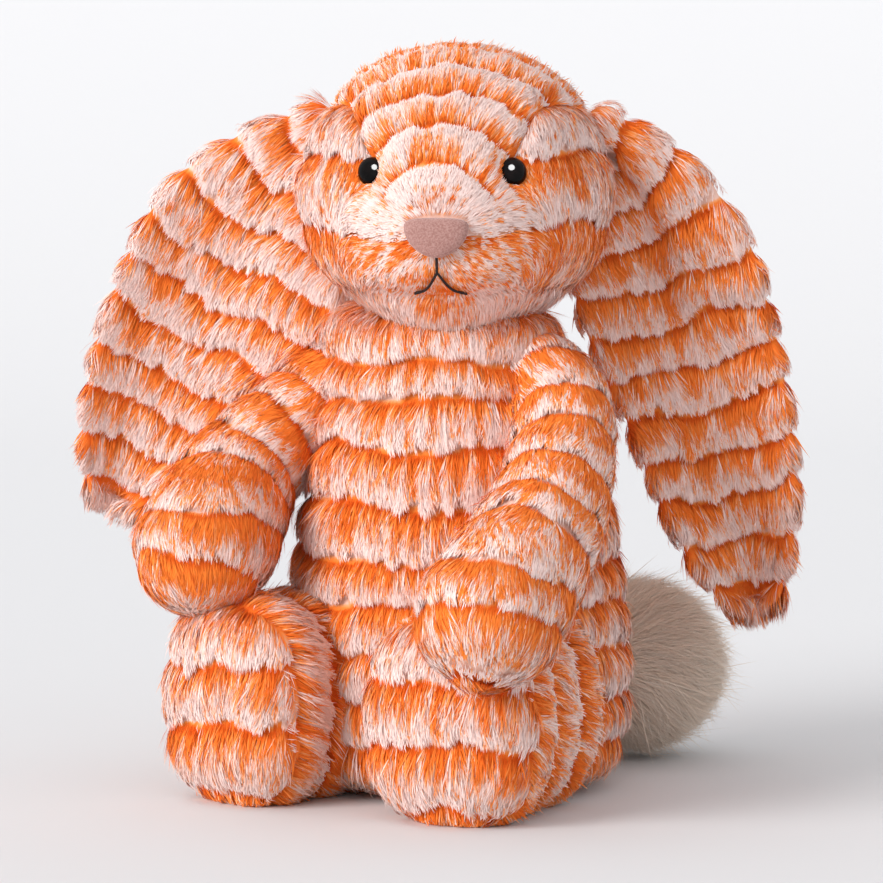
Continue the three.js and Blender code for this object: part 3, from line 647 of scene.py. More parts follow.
# Striped pile of the torso, head, limbs and ears.
BODY_PILE = Pile(density=6.6, length=7.5, width=0.3, height=3.6)
HEAD_PILE = Pile(density=10.0, length=5.0, width=0.27, height=2.8, shortest=1.0, blotch=0.14)
EAR_PILE = Pile(density=7.4, length=7.5, width=0.3, height=3.4, reddest=0.18)
LIMB_PILE = Pile(
    density=8.5,
    length=6.5,
    width=0.3,
    height=2.7,
    streak=0.4,
    blotch=0.16,
    comb=16.0,
    overhang=0.25,
    crease=0.7,
    dive=0.02,
    reddest=0.2,
)
# Long hair of the tail.
TAIL_PILE = Pile(
    density=3.4,
    length=16.0,
    width=0.3,
    height=5.0,
    splay=18.0,
    wisp=18.0,
    tuft_height=0.5,
    stray=1.0,
    stray_share=0.12,
    dive=1.0,
    roundness=0.75,
    section=Section.THREE_SIDED,
)


@dataclass
class Torso(FurPiece):
    """The body: a pear with a flat seat, in level tiers with the nap straight down."""

    seat_radius: float = 33.0
    belly_radius: float = 47.0
    belly_height: float = 32.0
    chest_radius: float = 38.0
    chest_height: float = 96.0
    neck_radius: float = 32.0
    neck_height: float = 125.0
    crown: float = 9.0
    depth_ratio: float = 0.96
    neck_depth_ratio: float = 0.8
    lean: tuple[float, float] = (-3.5, -2.0)
    tier_edges: tuple[float, ...] = (
        143.0, 130.0, 117.0, 107.0, 94.5, 79.5, 65.0, 53.0, 41.0, 28.5, 16.0, 3.5
    )
    wobble: float = 1.8
    wobble_size: float = 36.0
    ripple: float = 0.5
    ripple_size: float = 10.0
    blotch_size: float = 16.0
    collar_reach: float = 0.25
    collar_heights: tuple[float, float] = (100.0, 120.0)
    lean_from: float = 90.0
    head_centre: float = 162.0
    head_room: float = 38.0
    sockets: tuple[tuple[Array, float], ...] = ()

    def skin(self) -> Skin:
        """A lathed pear."""
        sides = smooth_line(
            np.array(
                [
                    (self.seat_radius, 0.0),
                    (0.22 * self.seat_radius + 0.78 * self.belly_radius, 0.25 * self.belly_height),
                    (self.belly_radius, self.belly_height),
                    (
                        (self.belly_radius + self.chest_radius) / 2 + 1.5,
                        (self.belly_height + self.chest_height) / 2,
                    ),
                    (self.chest_radius, self.chest_height),
                    (self.neck_radius, self.neck_height),
                ]
            )
        )
        turns = np.linspace(0.1, 1.0, 8) * math.pi / 2
        crown = [
            (self.neck_radius * math.cos(t), self.neck_height + self.crown * math.sin(t)) for t in turns
        ]
        outline = Outline([(0.0, 0.0), *map(tuple, sides), *crown])

        def shape(angle: Array, share: Array) -> tuple[Array, Array]:
            radius, height = outline.at(share)
            upper = smoothstep(self.lean_from, self.neck_height, height)
            depth = radius * (self.depth_ratio + (self.neck_depth_ratio - self.depth_ratio) * upper)
            sideways = radius * np.cos(angle) + self.lean[0] * upper
            forward = depth * np.sin(angle) + self.lean[1] * upper
            return np.stack([sideways, forward, height], axis=1), share[:, None]

        return Skin.loft(110, 80, shape, self.depth)

    def lay(self, places: Array, normals: Array, marks: Array) -> Lay:
        """Level tiers, nap down."""
        ripples = self.ripple * Wander(self.seed + 7, self.ripple_size)(places)
        height = places[:, 2] + self.wobbled(places) + ripples
        tiers, pitch = tiers_between(-np.array(self.tier_edges), -height)
        nap = along_surface(np.broadcast_to((0.0, 0.0, -1.0), places.shape), normals)
        reach = 1.0 + self.collar_reach * smoothstep(*self.collar_heights, height)
        return Lay(tiers, nap, pitch, reach, self.blotches(places))

    def keeps(self, places: Array, marks: Array) -> Array:
        """No pile inside the head or the roots of the limbs and tail, and none under the seat."""
        kept = places[:, 2] > self.depth + 0.5
        kept &= np.linalg.norm(places - (0.0, 0.0, self.head_centre), axis=1) > self.head_room
        for centre, radius in self.sockets:
            kept &= np.linalg.norm(places - centre, axis=1) > radius
        return kept


@dataclass(frozen=True)
class HeadFrame:
    """The head's own frame: its middle, and its turn towards the bunny's left."""

    centre: tuple[float, float, float] = (0.0, 0.0, 162.0)
    turn: float = math.radians(23.0)

    def to_part(self, places: Array) -> Array:
        """Places of the head's frame in the part's frame."""
        return places @ self.matrix().T + self.centre

    def from_part(self, places: Array) -> Array:
        """Places of the part's frame in the head's frame."""
        return (places - self.centre) @ self.matrix()

    def matrix(self) -> Array:
        """Its turn as a matrix."""
        c, s = math.cos(self.turn), math.sin(self.turn)
        return np.array([[c, -s, 0.0], [s, c, 0.0], [0.0, 0.0, 1.0]])


def towards(side: float, rise: float) -> Array:
    """A unit direction in the head's frame, from degrees towards its left and above its middle."""
    a, e = math.radians(side), math.radians(rise)
    return np.array([math.sin(a) * math.cos(e), -math.cos(a) * math.cos(e), math.sin(e)])


def angle_between(directions: Array, other: Array) -> Array:
    """Degrees between unit directions and another."""
    return np.degrees(np.arccos(np.clip(directions @ other, -1.0, 1.0)))


@dataclass(frozen=True)
class Bulge:
    """A soft rise or hollow of the head, on both sides unless its side angle is zero."""

    side: float
    rise: float
    height: float
    spread: float


@dataclass(frozen=True)
class NoseOutline:
    """A flat-topped shield with round corners, measured from its widest line above its middle."""

    half_width: float = 8.5
    top: float = 2.6
    drop: float = 7.8
    raised: float = 3.2
    top_squareness: float = 3.2
    drop_squareness: float = 1.8

    def share(self, across: Array, up: Array) -> Array:
        """0 in the middle, 1 on the outline and more outside."""
        power = np.where(up > 0.0, self.top_squareness, self.drop_squareness)
        height = np.where(up > 0.0, self.top, self.drop)
        wide = (np.abs(across) / self.half_width) ** power
        tall = (np.abs(up) / height) ** power
        return (wide + tall) ** (1.0 / power)


@dataclass
class Head(FurPiece):
    """The head: a ball with muzzle and cheeks, a forehead gusset with its nap up, sides with it down."""

    frame: HeadFrame = HeadFrame()
    half_sizes: tuple[float, float, float] = (42.0, 39.0, 40.0)
    muzzle_bulge: float = 7.0
    muzzle_spread: float = math.degrees(0.62)
    cheek_bulge: float = 2.5
    cheek_spread: float = math.degrees(0.5)
    cheek: tuple[float, float] = (58.0, -16.0)
    nose: tuple[float, float] = (0.0, -15.0)
    eye: tuple[float, float] = (29.0, 7.5)
    arch_centre: tuple[float, float] = (0.0, -11.0)
    seam_depth: float = 1.8
    bulges: tuple[Bulge, ...] = (
        Bulge(29.0, 7.5, -2.6, 8.0),
        Bulge(40.0, 26.0, 1.8, 12.0),
        Bulge(14.0, -26.0, 1.6, 9.0),
        Bulge(0.0, -50.0, 5.0, 24.0),
        Bulge(0.0, 90.0, -1.5, 40.0),
    )
    eye_radius: float = 3.9
    nose_outline: NoseOutline = NoseOutline()
    seat_radius: float = 40.5
    seat_drop: float = 0.6
    gusset_sides: tuple[float, ...] = (
        0.0, 20.0, 26.0, 30.0, 37.0, 45.0, 60.0, 80.0, 100.0, 120.0, 140.0, 155.0
    )
    gusset_rises: tuple[float, ...] = (
        -8.0, -4.0, 3.0, 13.0, 24.0, 32.0, 35.0, 34.0, 30.0, 20.0, -10.0, -70.0
    )
    gusset_edges: tuple[float, ...] = (
        8.0, 21.0, 35.0, 50.5, 68.0, 89.0, 110.0, 131.0, 152.0, 173.0, 194.0, 215.0, 236.0, 257.0, 278.0
    )
    side_edges: tuple[float, ...] = (40.0, 26.0, 10.5, -7.2, -35.0, -48.0)
    droop: float = 5.0
    wobble: float = 1.0
    wobble_size: float = 26.0
    arch_wobble: float = 1.6
    level_wobble: float = 1.8
    blotch_size: float = 12.0
    arch_radius: float = 40.0
    nose_stand: float = 1.17
    gusset_paleness: float = 0.04
    bridge_paleness: float = 0.3
    muzzle_paleness: float = 0.18
    muzzle_blotch: float = 0.3
    muzzle_blotch_size: float = 3.2
    # Painted shade: how much deeper orange the dye turns round the eyes, in their sunken sockets.
    eye_socket_painted_shade: float = 0.3
    chin: tuple[float, float] = (0.0, -37.0)
    chin_dye: float = 0.65
    chin_spread: float = 11.0
    beard_hang: float = 2.5

    def radius(self, directions: Array) -> Array:
        """Distance from the middle to the outer surface in some directions."""
        ball = 1.0 / np.linalg.norm(directions / np.array(self.half_sizes), axis=1)
        muzzle = np.exp(-((angle_between(directions, towards(*self.nose)) / self.muzzle_spread) ** 2))
        ball = ball + self.muzzle_bulge * muzzle
        for side in (1.0, -1.0):
            away = angle_between(directions, towards(side * self.cheek[0], self.cheek[1]))
            ball = ball + self.cheek_bulge * np.exp(-((away / self.cheek_spread) ** 2))
        limit = self.seat_radius + np.maximum(0.0, directions[:, 2] + self.seat_drop) * self.half_sizes[2]
        return np.minimum(ball, limit)

    def seam_rise(self, directions: Array) -> Array:
        """Degrees by which directions lie above the seam between the gusset and the sides."""
        side = np.degrees(np.abs(np.arctan2(directions[:, 0], -directions[:, 1])))
        rise = np.degrees(np.arcsin(np.clip(directions[:, 2], -1.0, 1.0)))
        return rise - np.interp(side, self.gusset_sides, self.gusset_rises)

    def form(self, directions: Array) -> Array:
        """Distance to the stuffed surface: chin, brows and muzzle puffs out, eyes and seams in."""
        distance = self.radius(directions)
        from_nose = angle_between(directions, towards(*self.nose))
        seam = np.exp(-((self.seam_rise(directions) / 4.0) ** 2))
        distance = distance - self.seam_depth * seam * smoothstep(26.0, 36.0, from_nose)
        for bulge in self.bulges:
            for side in (1.0, -1.0) if bulge.side else (1.0,):
                away = angle_between(directions, towards(side * bulge.side, bulge.rise))
                distance = distance + bulge.height * np.exp(-((away / bulge.spread) ** 2))
        return distance

    def skin(self) -> Skin:
        """A ball drawn out to the head's form, with the ball's poles at the sides of the head."""

        def shape(angle: Array, share: Array) -> tuple[Array, Array]:
            directions = np.roll(ball_directions(angle, share), 1, axis=1)
            distance = self.form(directions) - self.depth
            return self.frame.to_part(directions * distance[:, None]), share[:, None]

        return Skin.loft(110, 90, shape)

    def lay(self, places: Array, normals: Array, marks: Array) -> Lay:
        """Arched tiers over the gusset, level ones on the sides, and a nap away from the nose."""
        local = self.frame.from_part(places)
        directions = unit(local)
        nose = towards(*self.nose)
        away = angle_between(directions, nose)
        gusset = self.seam_rise(directions) > 0.0
        wobble = self.wobbled(places)
        over = np.degrees(np.arctan2(directions[:, 2], -directions[:, 1])) - self.arch_centre[1]
        over = np.where(over < -90.0, over + 360.0, over)
        behind = smoothstep(70.0, 105.0, over)
        arch = angle_between(directions, towards(*self.arch_centre))
        arch = arch + behind * (over - arch) + self.arch_wobble * wobble
        arch_tiers, arch_pitch = tiers_between(np.array(self.gusset_edges), arch)
        side = np.degrees(np.arctan2(np.abs(directions[:, 0]), -directions[:, 1]))
        droop = self.droop * (1.0 - smoothstep(10.0, 50.0, side)) * smoothstep(-24.0, -14.0, local[:, 2])
        level = local[:, 2] + self.level_wobble * wobble + droop
        level_tiers, level_pitch = tiers_between(-np.array(self.side_edges), -level)
        tiers = np.where(gusset, arch_tiers, level_tiers)
        pitch = np.where(gusset, np.radians(arch_pitch) * self.arch_radius, level_pitch)

        outwards = unit(directions - nose)
        backwards = unit(np.stack([0.0 * arch, directions[:, 2], -directions[:, 1]], axis=1))
        combed = outwards + behind[:, None] * (backwards - outwards)
        down = np.broadcast_to((0.0, 0.0, -1.0), local.shape) + 0.35 * directions * (1.0, 1.0, 0.0)
        muzzle = (1.0 - smoothstep(22.0, 46.0, away))[:, None]
        local_nap = np.where(gusset[:, None], combed, outwards * muzzle + down * (1.0 - muzzle))
        nap = along_surface(local_nap @ self.frame.matrix().T, normals)
        from_eye = self.from_eyes(directions)
        reach = 0.55 + 0.45 * smoothstep(14.0, 40.0, away)
        reach = np.minimum(reach, 0.5 + 0.5 * smoothstep(7.0, 18.0, from_eye))
        # Painted shade: the dye turns deeper orange round the eyes, where their sockets sink.
        eye_socket_shade = 1.0 - smoothstep(6.0, 13.0, from_eye)
        tone = self.blotches(places) + self.gusset_paleness * gusset - self.eye_socket_painted_shade * eye_socket_shade
        mottle = Wander(self.seed + 8, self.muzzle_blotch_size)(places)
        on_muzzle = 1.0 - smoothstep(20.0, 38.0, away)
        tone = tone + on_muzzle * (self.muzzle_paleness + self.muzzle_blotch * mottle)
        tone = tone + self.bridge_paleness * gusset * (1.0 - smoothstep(14.0, 26.0, away))
        from_chin = angle_between(directions, towards(*self.chin))
        tone = tone - self.chin_dye * np.exp(-((from_chin / self.chin_spread) ** 2))
        hang = self.beard_hang * smoothstep(-20.0, -32.0, local[:, 2])
        hang = hang * smoothstep(10.0, -15.0, local[:, 1])
        return Lay(tiers, nap, pitch, reach, tone, hang)

    def from_eyes(self, directions: Array) -> Array:
        """Degrees from directions to the nearer eye."""
        eyes = (towards(side * self.eye[0], self.eye[1]) for side in (1.0, -1.0))
        return np.minimum(*(angle_between(directions, eye) for eye in eyes))

    def bares(self, places: Array, eye_room: float, nose_room: float) -> Array:
        """Which places lie on an eye or the nose, with room round them in millimetres."""
        local = self.frame.from_part(places)
        directions = unit(local)
        nose = towards(*self.nose) * self.half_sizes[1]
        up = local[:, 2] - nose[2] * self.nose_stand - self.nose_outline.raised
        on_nose = self.nose_outline.share(local[:, 0], up) < 1.0 + nose_room / self.nose_outline.top
        from_eye = np.radians(self.from_eyes(directions)) * self.half_sizes[1]
        return (on_nose & (local[:, 1] < 0.0)) | (from_eye < self.eye_radius + eye_room)

    def keeps(self, places: Array, marks: Array) -> Array:
        """No pile under the eyes and the nose."""
        return ~self.bares(places, -0.2, -0.4)

    def clears(self, tips: Array) -> Array:
        """No strand ends over an eye or the nose."""
        return ~self.bares(tips, -0.9, -0.5)


@dataclass
class Ear(FurPiece):
    """A hanging ear: a flat leaf in tiers across, with one edge rolled to the front near its root."""

    side: float = 1.0
    frame: HeadFrame = HeadFrame()
    root: tuple[float, float, float] = (36.0, 6.0, 15.0)
    offsets: tuple[tuple[float, float, float], ...] = ()
    root_half_width: float = 9.0
    half_width: float = 23.5
    wobble_size: float = 28.0
    rim_droop: float = 2.2
    blotch_size: float = 14.0
    root_start: float = -3.0
    roll_softness: float = 0.25
    full_at: float = 0.33
    tip_start: float = 0.42
    tip_bluntness: float = 2.05
    cup: float = 6.0
    half_thickness: float = 1.6
    pitch: float = 12.5
    roll_from: float = 0.0
    roll_height: float = 4.5
    roll_end: float = 0.5
    roll_outer: bool = True
    flap: float = 5.0
    tip_inset: float = 5.5
    free_ends: bool = True
    tip_phase: float = 0.5
    taper: float = 14.0

    def path(self) -> Path:
        """The ear's middle line, in the head's frame."""
        root = np.array(self.root) * (self.side, 1.0, 1.0)
        points = [root] + [root + np.array(o) * (self.side, 1.0, 1.0) for o in self.offsets]
        return Path(np.array(points), (0.0, -1.0, 0.0))

    def skin(self) -> Skin:
        """A thin pillow along the middle line."""
        path = self.path()
        start = self.root_start

        def shape(angle: Array, share: Array) -> tuple[Array, Array]:
            along = start + (path.length - self.tip_inset - start) * (0.5 - 0.5 * np.cos(share * math.pi))
            part = np.clip(along / path.length, 0.0, 1.0)
            width = self.root_half_width + (self.half_width - self.root_half_width) * smoothstep(
                0.0, self.full_at, part
            )
            narrows = self.tip_start * path.length
            tip = np.clip((along - narrows) / (path.length - self.tip_inset + 1.0 - narrows), 0.0, 1.0)
            width = (width - 1.5) * np.sqrt(np.maximum(1.0 - tip**self.tip_bluntness, 0.0))
            width = width * np.sqrt(np.clip(np.sin(share * math.pi) * 4.0, 0.0, 1.0))
            across = np.cos(angle)
            outer = -self.side * across
            inner_flap = smoothstep(0.02, 0.22, part) * (1.0 - smoothstep(0.3, 0.66, part))
            width = width + self.flap * inner_flap * (outer < 0.0)
            rolled = outer if self.roll_outer else -outer
            soft = self.roll_softness
            raised = smoothstep(self.roll_from - soft, self.roll_from + soft, rolled)
            raised = raised * (1.0 - smoothstep(self.roll_end * 0.55, self.roll_end, part))
            cupped = self.cup * smoothstep(0.12, 0.4, part) * across**2
            lift = cupped + self.roll_height * raised
            thick = self.half_thickness * np.sign(np.sin(angle)) * np.abs(np.sin(angle)) ** 0.6
            thick = thick * np.clip(np.sin(share * math.pi) * 6.0, 0.0, 1.0)
            thick = thick * np.sqrt(np.clip((path.length - along) / self.taper, 0.05, 1.0))
            place, _, cross, front = path.frames(along)
            places = place + cross * (width * across)[:, None] + front * (lift + thick)[:, None]
            marks = np.stack([along, outer, raised], axis=1)
            return self.frame.to_part(places), marks

        return Skin.loft(64, 110, shape)

    def lay(self, places: Array, normals: Array, marks: Array) -> Lay:
        """Tiers across the ear, nap towards its tip."""
        along, outer, raised = marks.T
        path = self.path()
        from_tip = along - path.length + self.tip_inset + self.wobbled(places)
        tiers = (from_tip + self.rim_droop * outer**2) / self.pitch + 0.4 * raised + self.tip_phase
        _, tangent, _, _ = path.frames(along)
        tangent = tangent @ self.frame.matrix().T
        on_end = smoothstep(0.3, 0.8, np.sum(tangent * normals, axis=1))[:, None]
        nap = unit((1.0 - on_end) * along_surface(tangent, normals) + on_end * tangent)
        return Lay.even(tiers, nap, self.pitch, self.blotches(places))


@dataclass
class Arm(FurPiece):
    """An arm: a bent tube with a round paw, in narrow tiers with the nap towards the paw."""

    side: float = 1.0
    shoulder: Array | None = None
    root: tuple[float, float, float] = (-7.0, 3.0, 6.0)
    offsets: tuple[tuple[float, float, float], ...] = ()
    root_radius: float = 13.0
    shaft_radius: float = 14.5
    paw_radius: float = 19.0
    pitch: float = 13.0
    wobble: float = 2.4
    blotch_size: float = 11.0
    paw_droop: float = 2.2
    paw_from: float = 0.55

    def path(self) -> Path:
        """The arm's middle line."""
        offsets = (self.root, (0.0, 0.0, 0.0), *self.offsets)
        return Path(self.shoulder + np.array(offsets) * (self.side, 1.0, 1.0), (0.0, 0.0, 1.0))

    def skin(self) -> Skin:
        """A tube with round ends."""
        path = self.path()
        part = np.linspace(0.0, 1.0, 30)
        upper = self.root_radius + (self.shaft_radius - self.root_radius) * np.minimum(1.0, part / 0.4)
        radii = upper + (self.paw_radius - upper) * smoothstep(0.35, 1.0, part)
        turns = np.linspace(0.0, 1.0, 12)[1:] * math.pi / 2
        first = [(self.root_radius * math.sin(t), -self.root_radius * math.cos(t)) for t in turns[:-1]]
        last = [
            (self.paw_radius * math.cos(t), path.length + self.paw_radius * math.sin(t)) for t in turns
        ]
        shaft = list(zip(radii, part * path.length))
        outline = Outline([(0.0, -self.root_radius), *first, *shaft, *last])

        def shape(angle: Array, share: Array) -> tuple[Array, Array]:
            radius, along = outline.at(share)
            place, _, cross, front = path.frames(along)
            sideways = cross * (radius * np.cos(angle))[:, None]
            forward = front * (radius * np.sin(angle))[:, None]
            return place + sideways + forward, along[:, None]

        return Skin.loft(60, 70, shape, self.depth)

    def lay(self, places: Array, normals: Array, marks: Array) -> Lay:
        """Tiers across the arm, nap towards the paw and then down over its end."""
        path = self.path()
        along = marks[:, 0]
        _, tangent, _, _ = path.frames(along)
        end, onwards, _, _ = path.frames(np.array([path.length]))
        over = unit(onwards - (0.0, 0.0, self.paw_droop))
        paw = smoothstep(self.paw_from * path.length, path.length, along)
        reached = (1.0 - paw) * along + paw * (path.length + (places - end) @ over[0])
        tiers = (reached + self.wobbled(places)) / self.pitch
        nap = along_surface((1.0 - paw)[:, None] * tangent + paw[:, None] * over, normals)
        return Lay.even(tiers, nap, self.pitch, self.blotches(places))


@dataclass
class Leg(FurPiece):
    """A stubby leg: a tube from the hip to the sole's seam, with the nap towards the body."""

    side: float = 1.0
    hip: Array | None = None
    splay: float = math.radians(6.0)
    depth: float = 1.2
    reach: float = 47.0
    half_width: float = 23.0
    half_height: float = 27.5
    waist: float = 0.95
    squareness: float = 2.5
    sole_thickness: float = 7.0
    sole_rounding: float = 13.0
    rim_squareness: float = 2.4
    pitch: float = 15.5
    first_phase: float = 0.45
    wobble: float = 1.5
    nap_droop: float = 0.45
    hip_depth: float = 12.0

    def to_part(self, places: Array) -> Array:
        """Places of the leg's frame, forward along -Y, in the part's frame."""
        angle = self.side * self.splay
        c, s = math.cos(angle), math.sin(angle)
        return places @ np.array([[c, -s, 0.0], [s, c, 0.0], [0.0, 0.0, 1.0]]).T + self.hip

    def outline(self) -> Outline:
        """Its section's share of the full size, and the distance in front of the hip."""
        turns = np.linspace(0.0, 1.0, 10)[1:] * math.pi / 2
        back = [(math.sin(t), -self.half_width * math.cos(t)) for t in turns]
        front = self.reach - self.sole_rounding
        power = self.rim_squareness
        sines = [math.sin(t) for t in turns]
        rim = [((1.0 - s**power) ** (1 / power), front + self.sole_rounding * s) for s in sines]
        return Outline([(0.0, -self.half_width), *back, (self.waist, front * 0.55), (1.0, front), *rim])

    def section(self, angle: Array, share: Array) -> tuple[Array, Array]:
        """Sideways and upward distances round a rounded, slightly square section."""
        c, s = np.cos(angle), np.sin(angle)
        power = self.squareness
        size = (np.abs(c) ** power + np.abs(s) ** power) ** (-1.0 / power)
        return share * size * c * self.half_width, share * size * s * self.half_height

    def tube(self, first: float, last: float) -> Skin:
        """The part of the leg between two distances in front of the hip, closed at both ends."""
        whole = self.outline()
        inside = [tuple(p) for p in whole.points if first < p[1] < last]
        ends = [np.interp(x, whole.points[:, 1], whole.points[:, 0]) for x in (first, last)]
        outline = Outline([(0.0, first), (ends[0], first), *inside, (ends[1], last), (0.0, last)])

        def shape(angle: Array, share: Array) -> tuple[Array, Array]:
            size, along = outline.at(share)
            sideways, upward = self.section(angle, size)
            upward = np.maximum(upward, -self.hip[2])
            places = self.to_part(np.stack([sideways, -along, upward], axis=1))
            return places, np.stack([along, size], axis=1)

        return Skin.loft(84, 60, shape, self.depth)

    def skin(self) -> Skin:
        """The tube behind the sole's seam."""
        return self.tube(-self.half_width, self.reach - self.sole_thickness)

    def lay(self, places: Array, normals: Array, marks: Array) -> Lay:
        """Rings round the leg, nap towards the body."""
        tiers = (self.reach - marks[:, 0] + self.wobbled(places)) / self.pitch + self.first_phase
        back = self.to_part(np.array([[0.0, 1.0, 0.0]])) - self.hip
        nap = along_surface(np.broadcast_to(back[0] - (0.0, 0.0, self.nap_droop), places.shape), normals)
        return Lay.even(tiers, nap, self.pitch, self.blotches(places))

    def keeps(self, places: Array, marks: Array) -> Array:
        """No pile under the sole panel, on the hip inside the body, or underneath."""
        kept = (marks[:, 0] < self.reach - self.sole_thickness - 0.5) & (marks[:, 0] > -self.hip_depth)
        return kept & (places[:, 2] > self.depth + 0.3)


@dataclass
class Sole(Leg):
    """The panel that closes a leg in front, in level tiers with the nap down."""

    top_edge: float = 70.0
    pitch: float = 16.0
    wobble: float = 2.0
    seam_overlap: float = 6.0

    def skin(self) -> Skin:
        """The leg's end in front of the seam."""
        return self.tube(self.reach - self.sole_thickness - self.seam_overlap, self.reach)

    def lay(self, places: Array, normals: Array, marks: Array) -> Lay:
        """Level tiers, nap down."""
        tiers = (self.top_edge - places[:, 2] - self.wobbled(places)) / self.pitch
        nap = along_surface(np.broadcast_to((0.0, -0.15, -1.0), places.shape), normals)
        return Lay.even(tiers, nap, self.pitch, self.blotches(places))

    def keeps(self, places: Array, marks: Array) -> Array:
        """Pile only in front of the seam."""
        return (marks[:, 0] > self.reach - self.sole_thickness - 3.0) & (places[:, 2] > 2.0)


@dataclass
class Tail(FurPiece):
    """The tail: a ball with long, fine hair that leaves it all round."""

    centre: Array | None = None
    root: Array | None = None
    core_radius: float = 20.9
    neck_height: float = 7.5
    neck_spread: float = 26.0
    combed: tuple[float, float, float] = (0.25, 0.8, -0.35)
    pitch: float = 60.0
    phase: float = 0.05

    def skin(self) -> Skin:
        """A ball drawn out towards its root on the body."""
        inwards = unit(self.root - self.centre)

        def shape(angle: Array, share: Array) -> tuple[Array, Array]:
            ball = ball_directions(angle, share)
            neck = np.exp(-((angle_between(ball, inwards) / self.neck_spread) ** 2))
            radius = self.core_radius + self.neck_height * neck
            return self.centre + ball * radius[:, None], share[:, None]

        return Skin.loft(48, 36, shape)

    def lay(self, places: Array, normals: Array, marks: Array) -> Lay:
        """One tier of hair combed back and down."""
        nap = along_surface(np.broadcast_to(self.combed, places.shape), normals)
        none = np.zeros(len(places))
        return Lay.even(none + self.phase, nap, self.pitch, none)

    def relief(self, phase: Array) -> Array:
        """Hair that stands out all over."""
        return np.ones_like(phase)

    def ground(self, phase: Array) -> Array:
        """A plain ball under the hair."""
        return np.zeros_like(phase)


class Socket(Enum):
    """The kinds of socket on a shader group."""

    VALUE = "NodeSocketFloat"
    COLOUR = "NodeSocketColor"
    VECTOR = "NodeSocketVector"


def node_group(name: str, inputs: dict[str, Socket], outputs: dict[str, Socket]) -> bpy.types.NodeTree:
    """An empty shader group.

    Args:
        name: the group's name.
        inputs: its inputs and their kinds.
        outputs: its outputs and their kinds.

    Returns:
        The group, with its input node "given" and its output node "made".
    """
    group = bpy.data.node_groups.new(name, "ShaderNodeTree")
    for way, sockets in (("INPUT", inputs), ("OUTPUT", outputs)):
        for label, kind in sockets.items():
            group.interface.new_socket(label, in_out=way, socket_type=kind.value)
    group.nodes.new("NodeGroupInput").name = "given"
    group.nodes.new("NodeGroupOutput").name = "made"
    return group


def strand_tint() -> bpy.types.NodeTree:
    """The group that makes each strand's dye a little lighter or darker, built once."""
    name = "strand_tint"
    if name in bpy.data.node_groups:
        return bpy.data.node_groups[name]
    values = {label: Socket.VALUE for label in ("Strand", "Darkest", "Brightest")}
    group = node_group(name, {"Dye": Socket.COLOUR, **values}, {"Color": Socket.COLOUR})
    given, made = group.nodes["given"], group.nodes["made"]
    vary = group.nodes.new("ShaderNodeMapRange")
    tint = group.nodes.new("ShaderNodeHueSaturation")
    link = group.links.new
    link(given.outputs["Strand"], vary.inputs["Value"])
    link(given.outputs["Darkest"], vary.inputs["To Min"])
    link(given.outputs["Brightest"], vary.inputs["To Max"])
    link(given.outputs["Dye"], tint.inputs["Color"])
    link(vary.outputs["Result"], tint.inputs["Value"])
    link(tint.outputs["Color"], made.inputs["Color"])
    return group


def fine_grain() -> bpy.types.NodeTree:
    """The group that mixes two colours in a fine grain and gives the grain's height, built once."""
    name = "fine_grain"
    if name in bpy.data.node_groups:
        return bpy.data.node_groups[name]
    group = node_group(
        name,
        {"Vector": Socket.VECTOR, "Scale": Socket.VALUE, "First": Socket.COLOUR, "Second": Socket.COLOUR},
        {"Color": Socket.COLOUR, "Height": Socket.VALUE},
    )
    given, made = group.nodes["given"], group.nodes["made"]
    noise = group.nodes.new("ShaderNodeTexNoise")
    noise.inputs["Detail"].default_value = 4.0
    share = group.nodes.new("ShaderNodeMapRange")
    share.inputs["From Min"].default_value, share.inputs["From Max"].default_value = 0.35, 0.65
    mix = group.nodes.new("ShaderNodeMix")
    mix.data_type = "RGBA"
    sockets = {socket.identifier: socket for socket in mix.inputs}
    mixed = next(socket for socket in mix.outputs if socket.identifier == "Result_Color")
    link = group.links.new
    link(given.outputs["Vector"], noise.inputs["Vector"])
    link(given.outputs["Scale"], noise.inputs["Scale"])
    link(noise.outputs["Fac"], share.inputs["Value"])
    link(share.outputs["Result"], sockets["Factor_Float"])
    link(given.outputs["First"], sockets["A_Color"])
    link(given.outputs["Second"], sockets["B_Color"])
    link(mixed, made.inputs["Color"])
    link(noise.outputs["Fac"], made.inputs["Height"])
    return group


@dataclass(frozen=True)
class Finish:
    """A surface finish with its plain values."""

    name: str
    roughness: float
    sheen: float = 0.0
    specular: float = 0.5

    def start(self) -> tuple[bpy.types.Material, bpy.types.ShaderNodeTree, bpy.types.Node]:
        """A new material, its nodes and its shader with the plain values set."""
        material = bpy.data.materials.new(self.name)
        material.use_nodes = True
        tree = material.node_tree
        shader = tree.nodes["Principled BSDF"]
        shader.inputs["Roughness"].default_value = self.roughness
        shader.inputs["Sheen Weight"].default_value = self.sheen
        shader.inputs["Specular IOR Level"].default_value = self.specular
        return material, tree, shader

    @staticmethod
    def place(tree: bpy.types.NodeTree, group: bpy.types.NodeTree, **values: object) -> bpy.types.Node:
        """A group in a material, with its own values."""
        node = tree.nodes.new("ShaderNodeGroup")
        node.node_tree = group
        for label, value in values.items():
            node.inputs[label].default_value = value
        return node


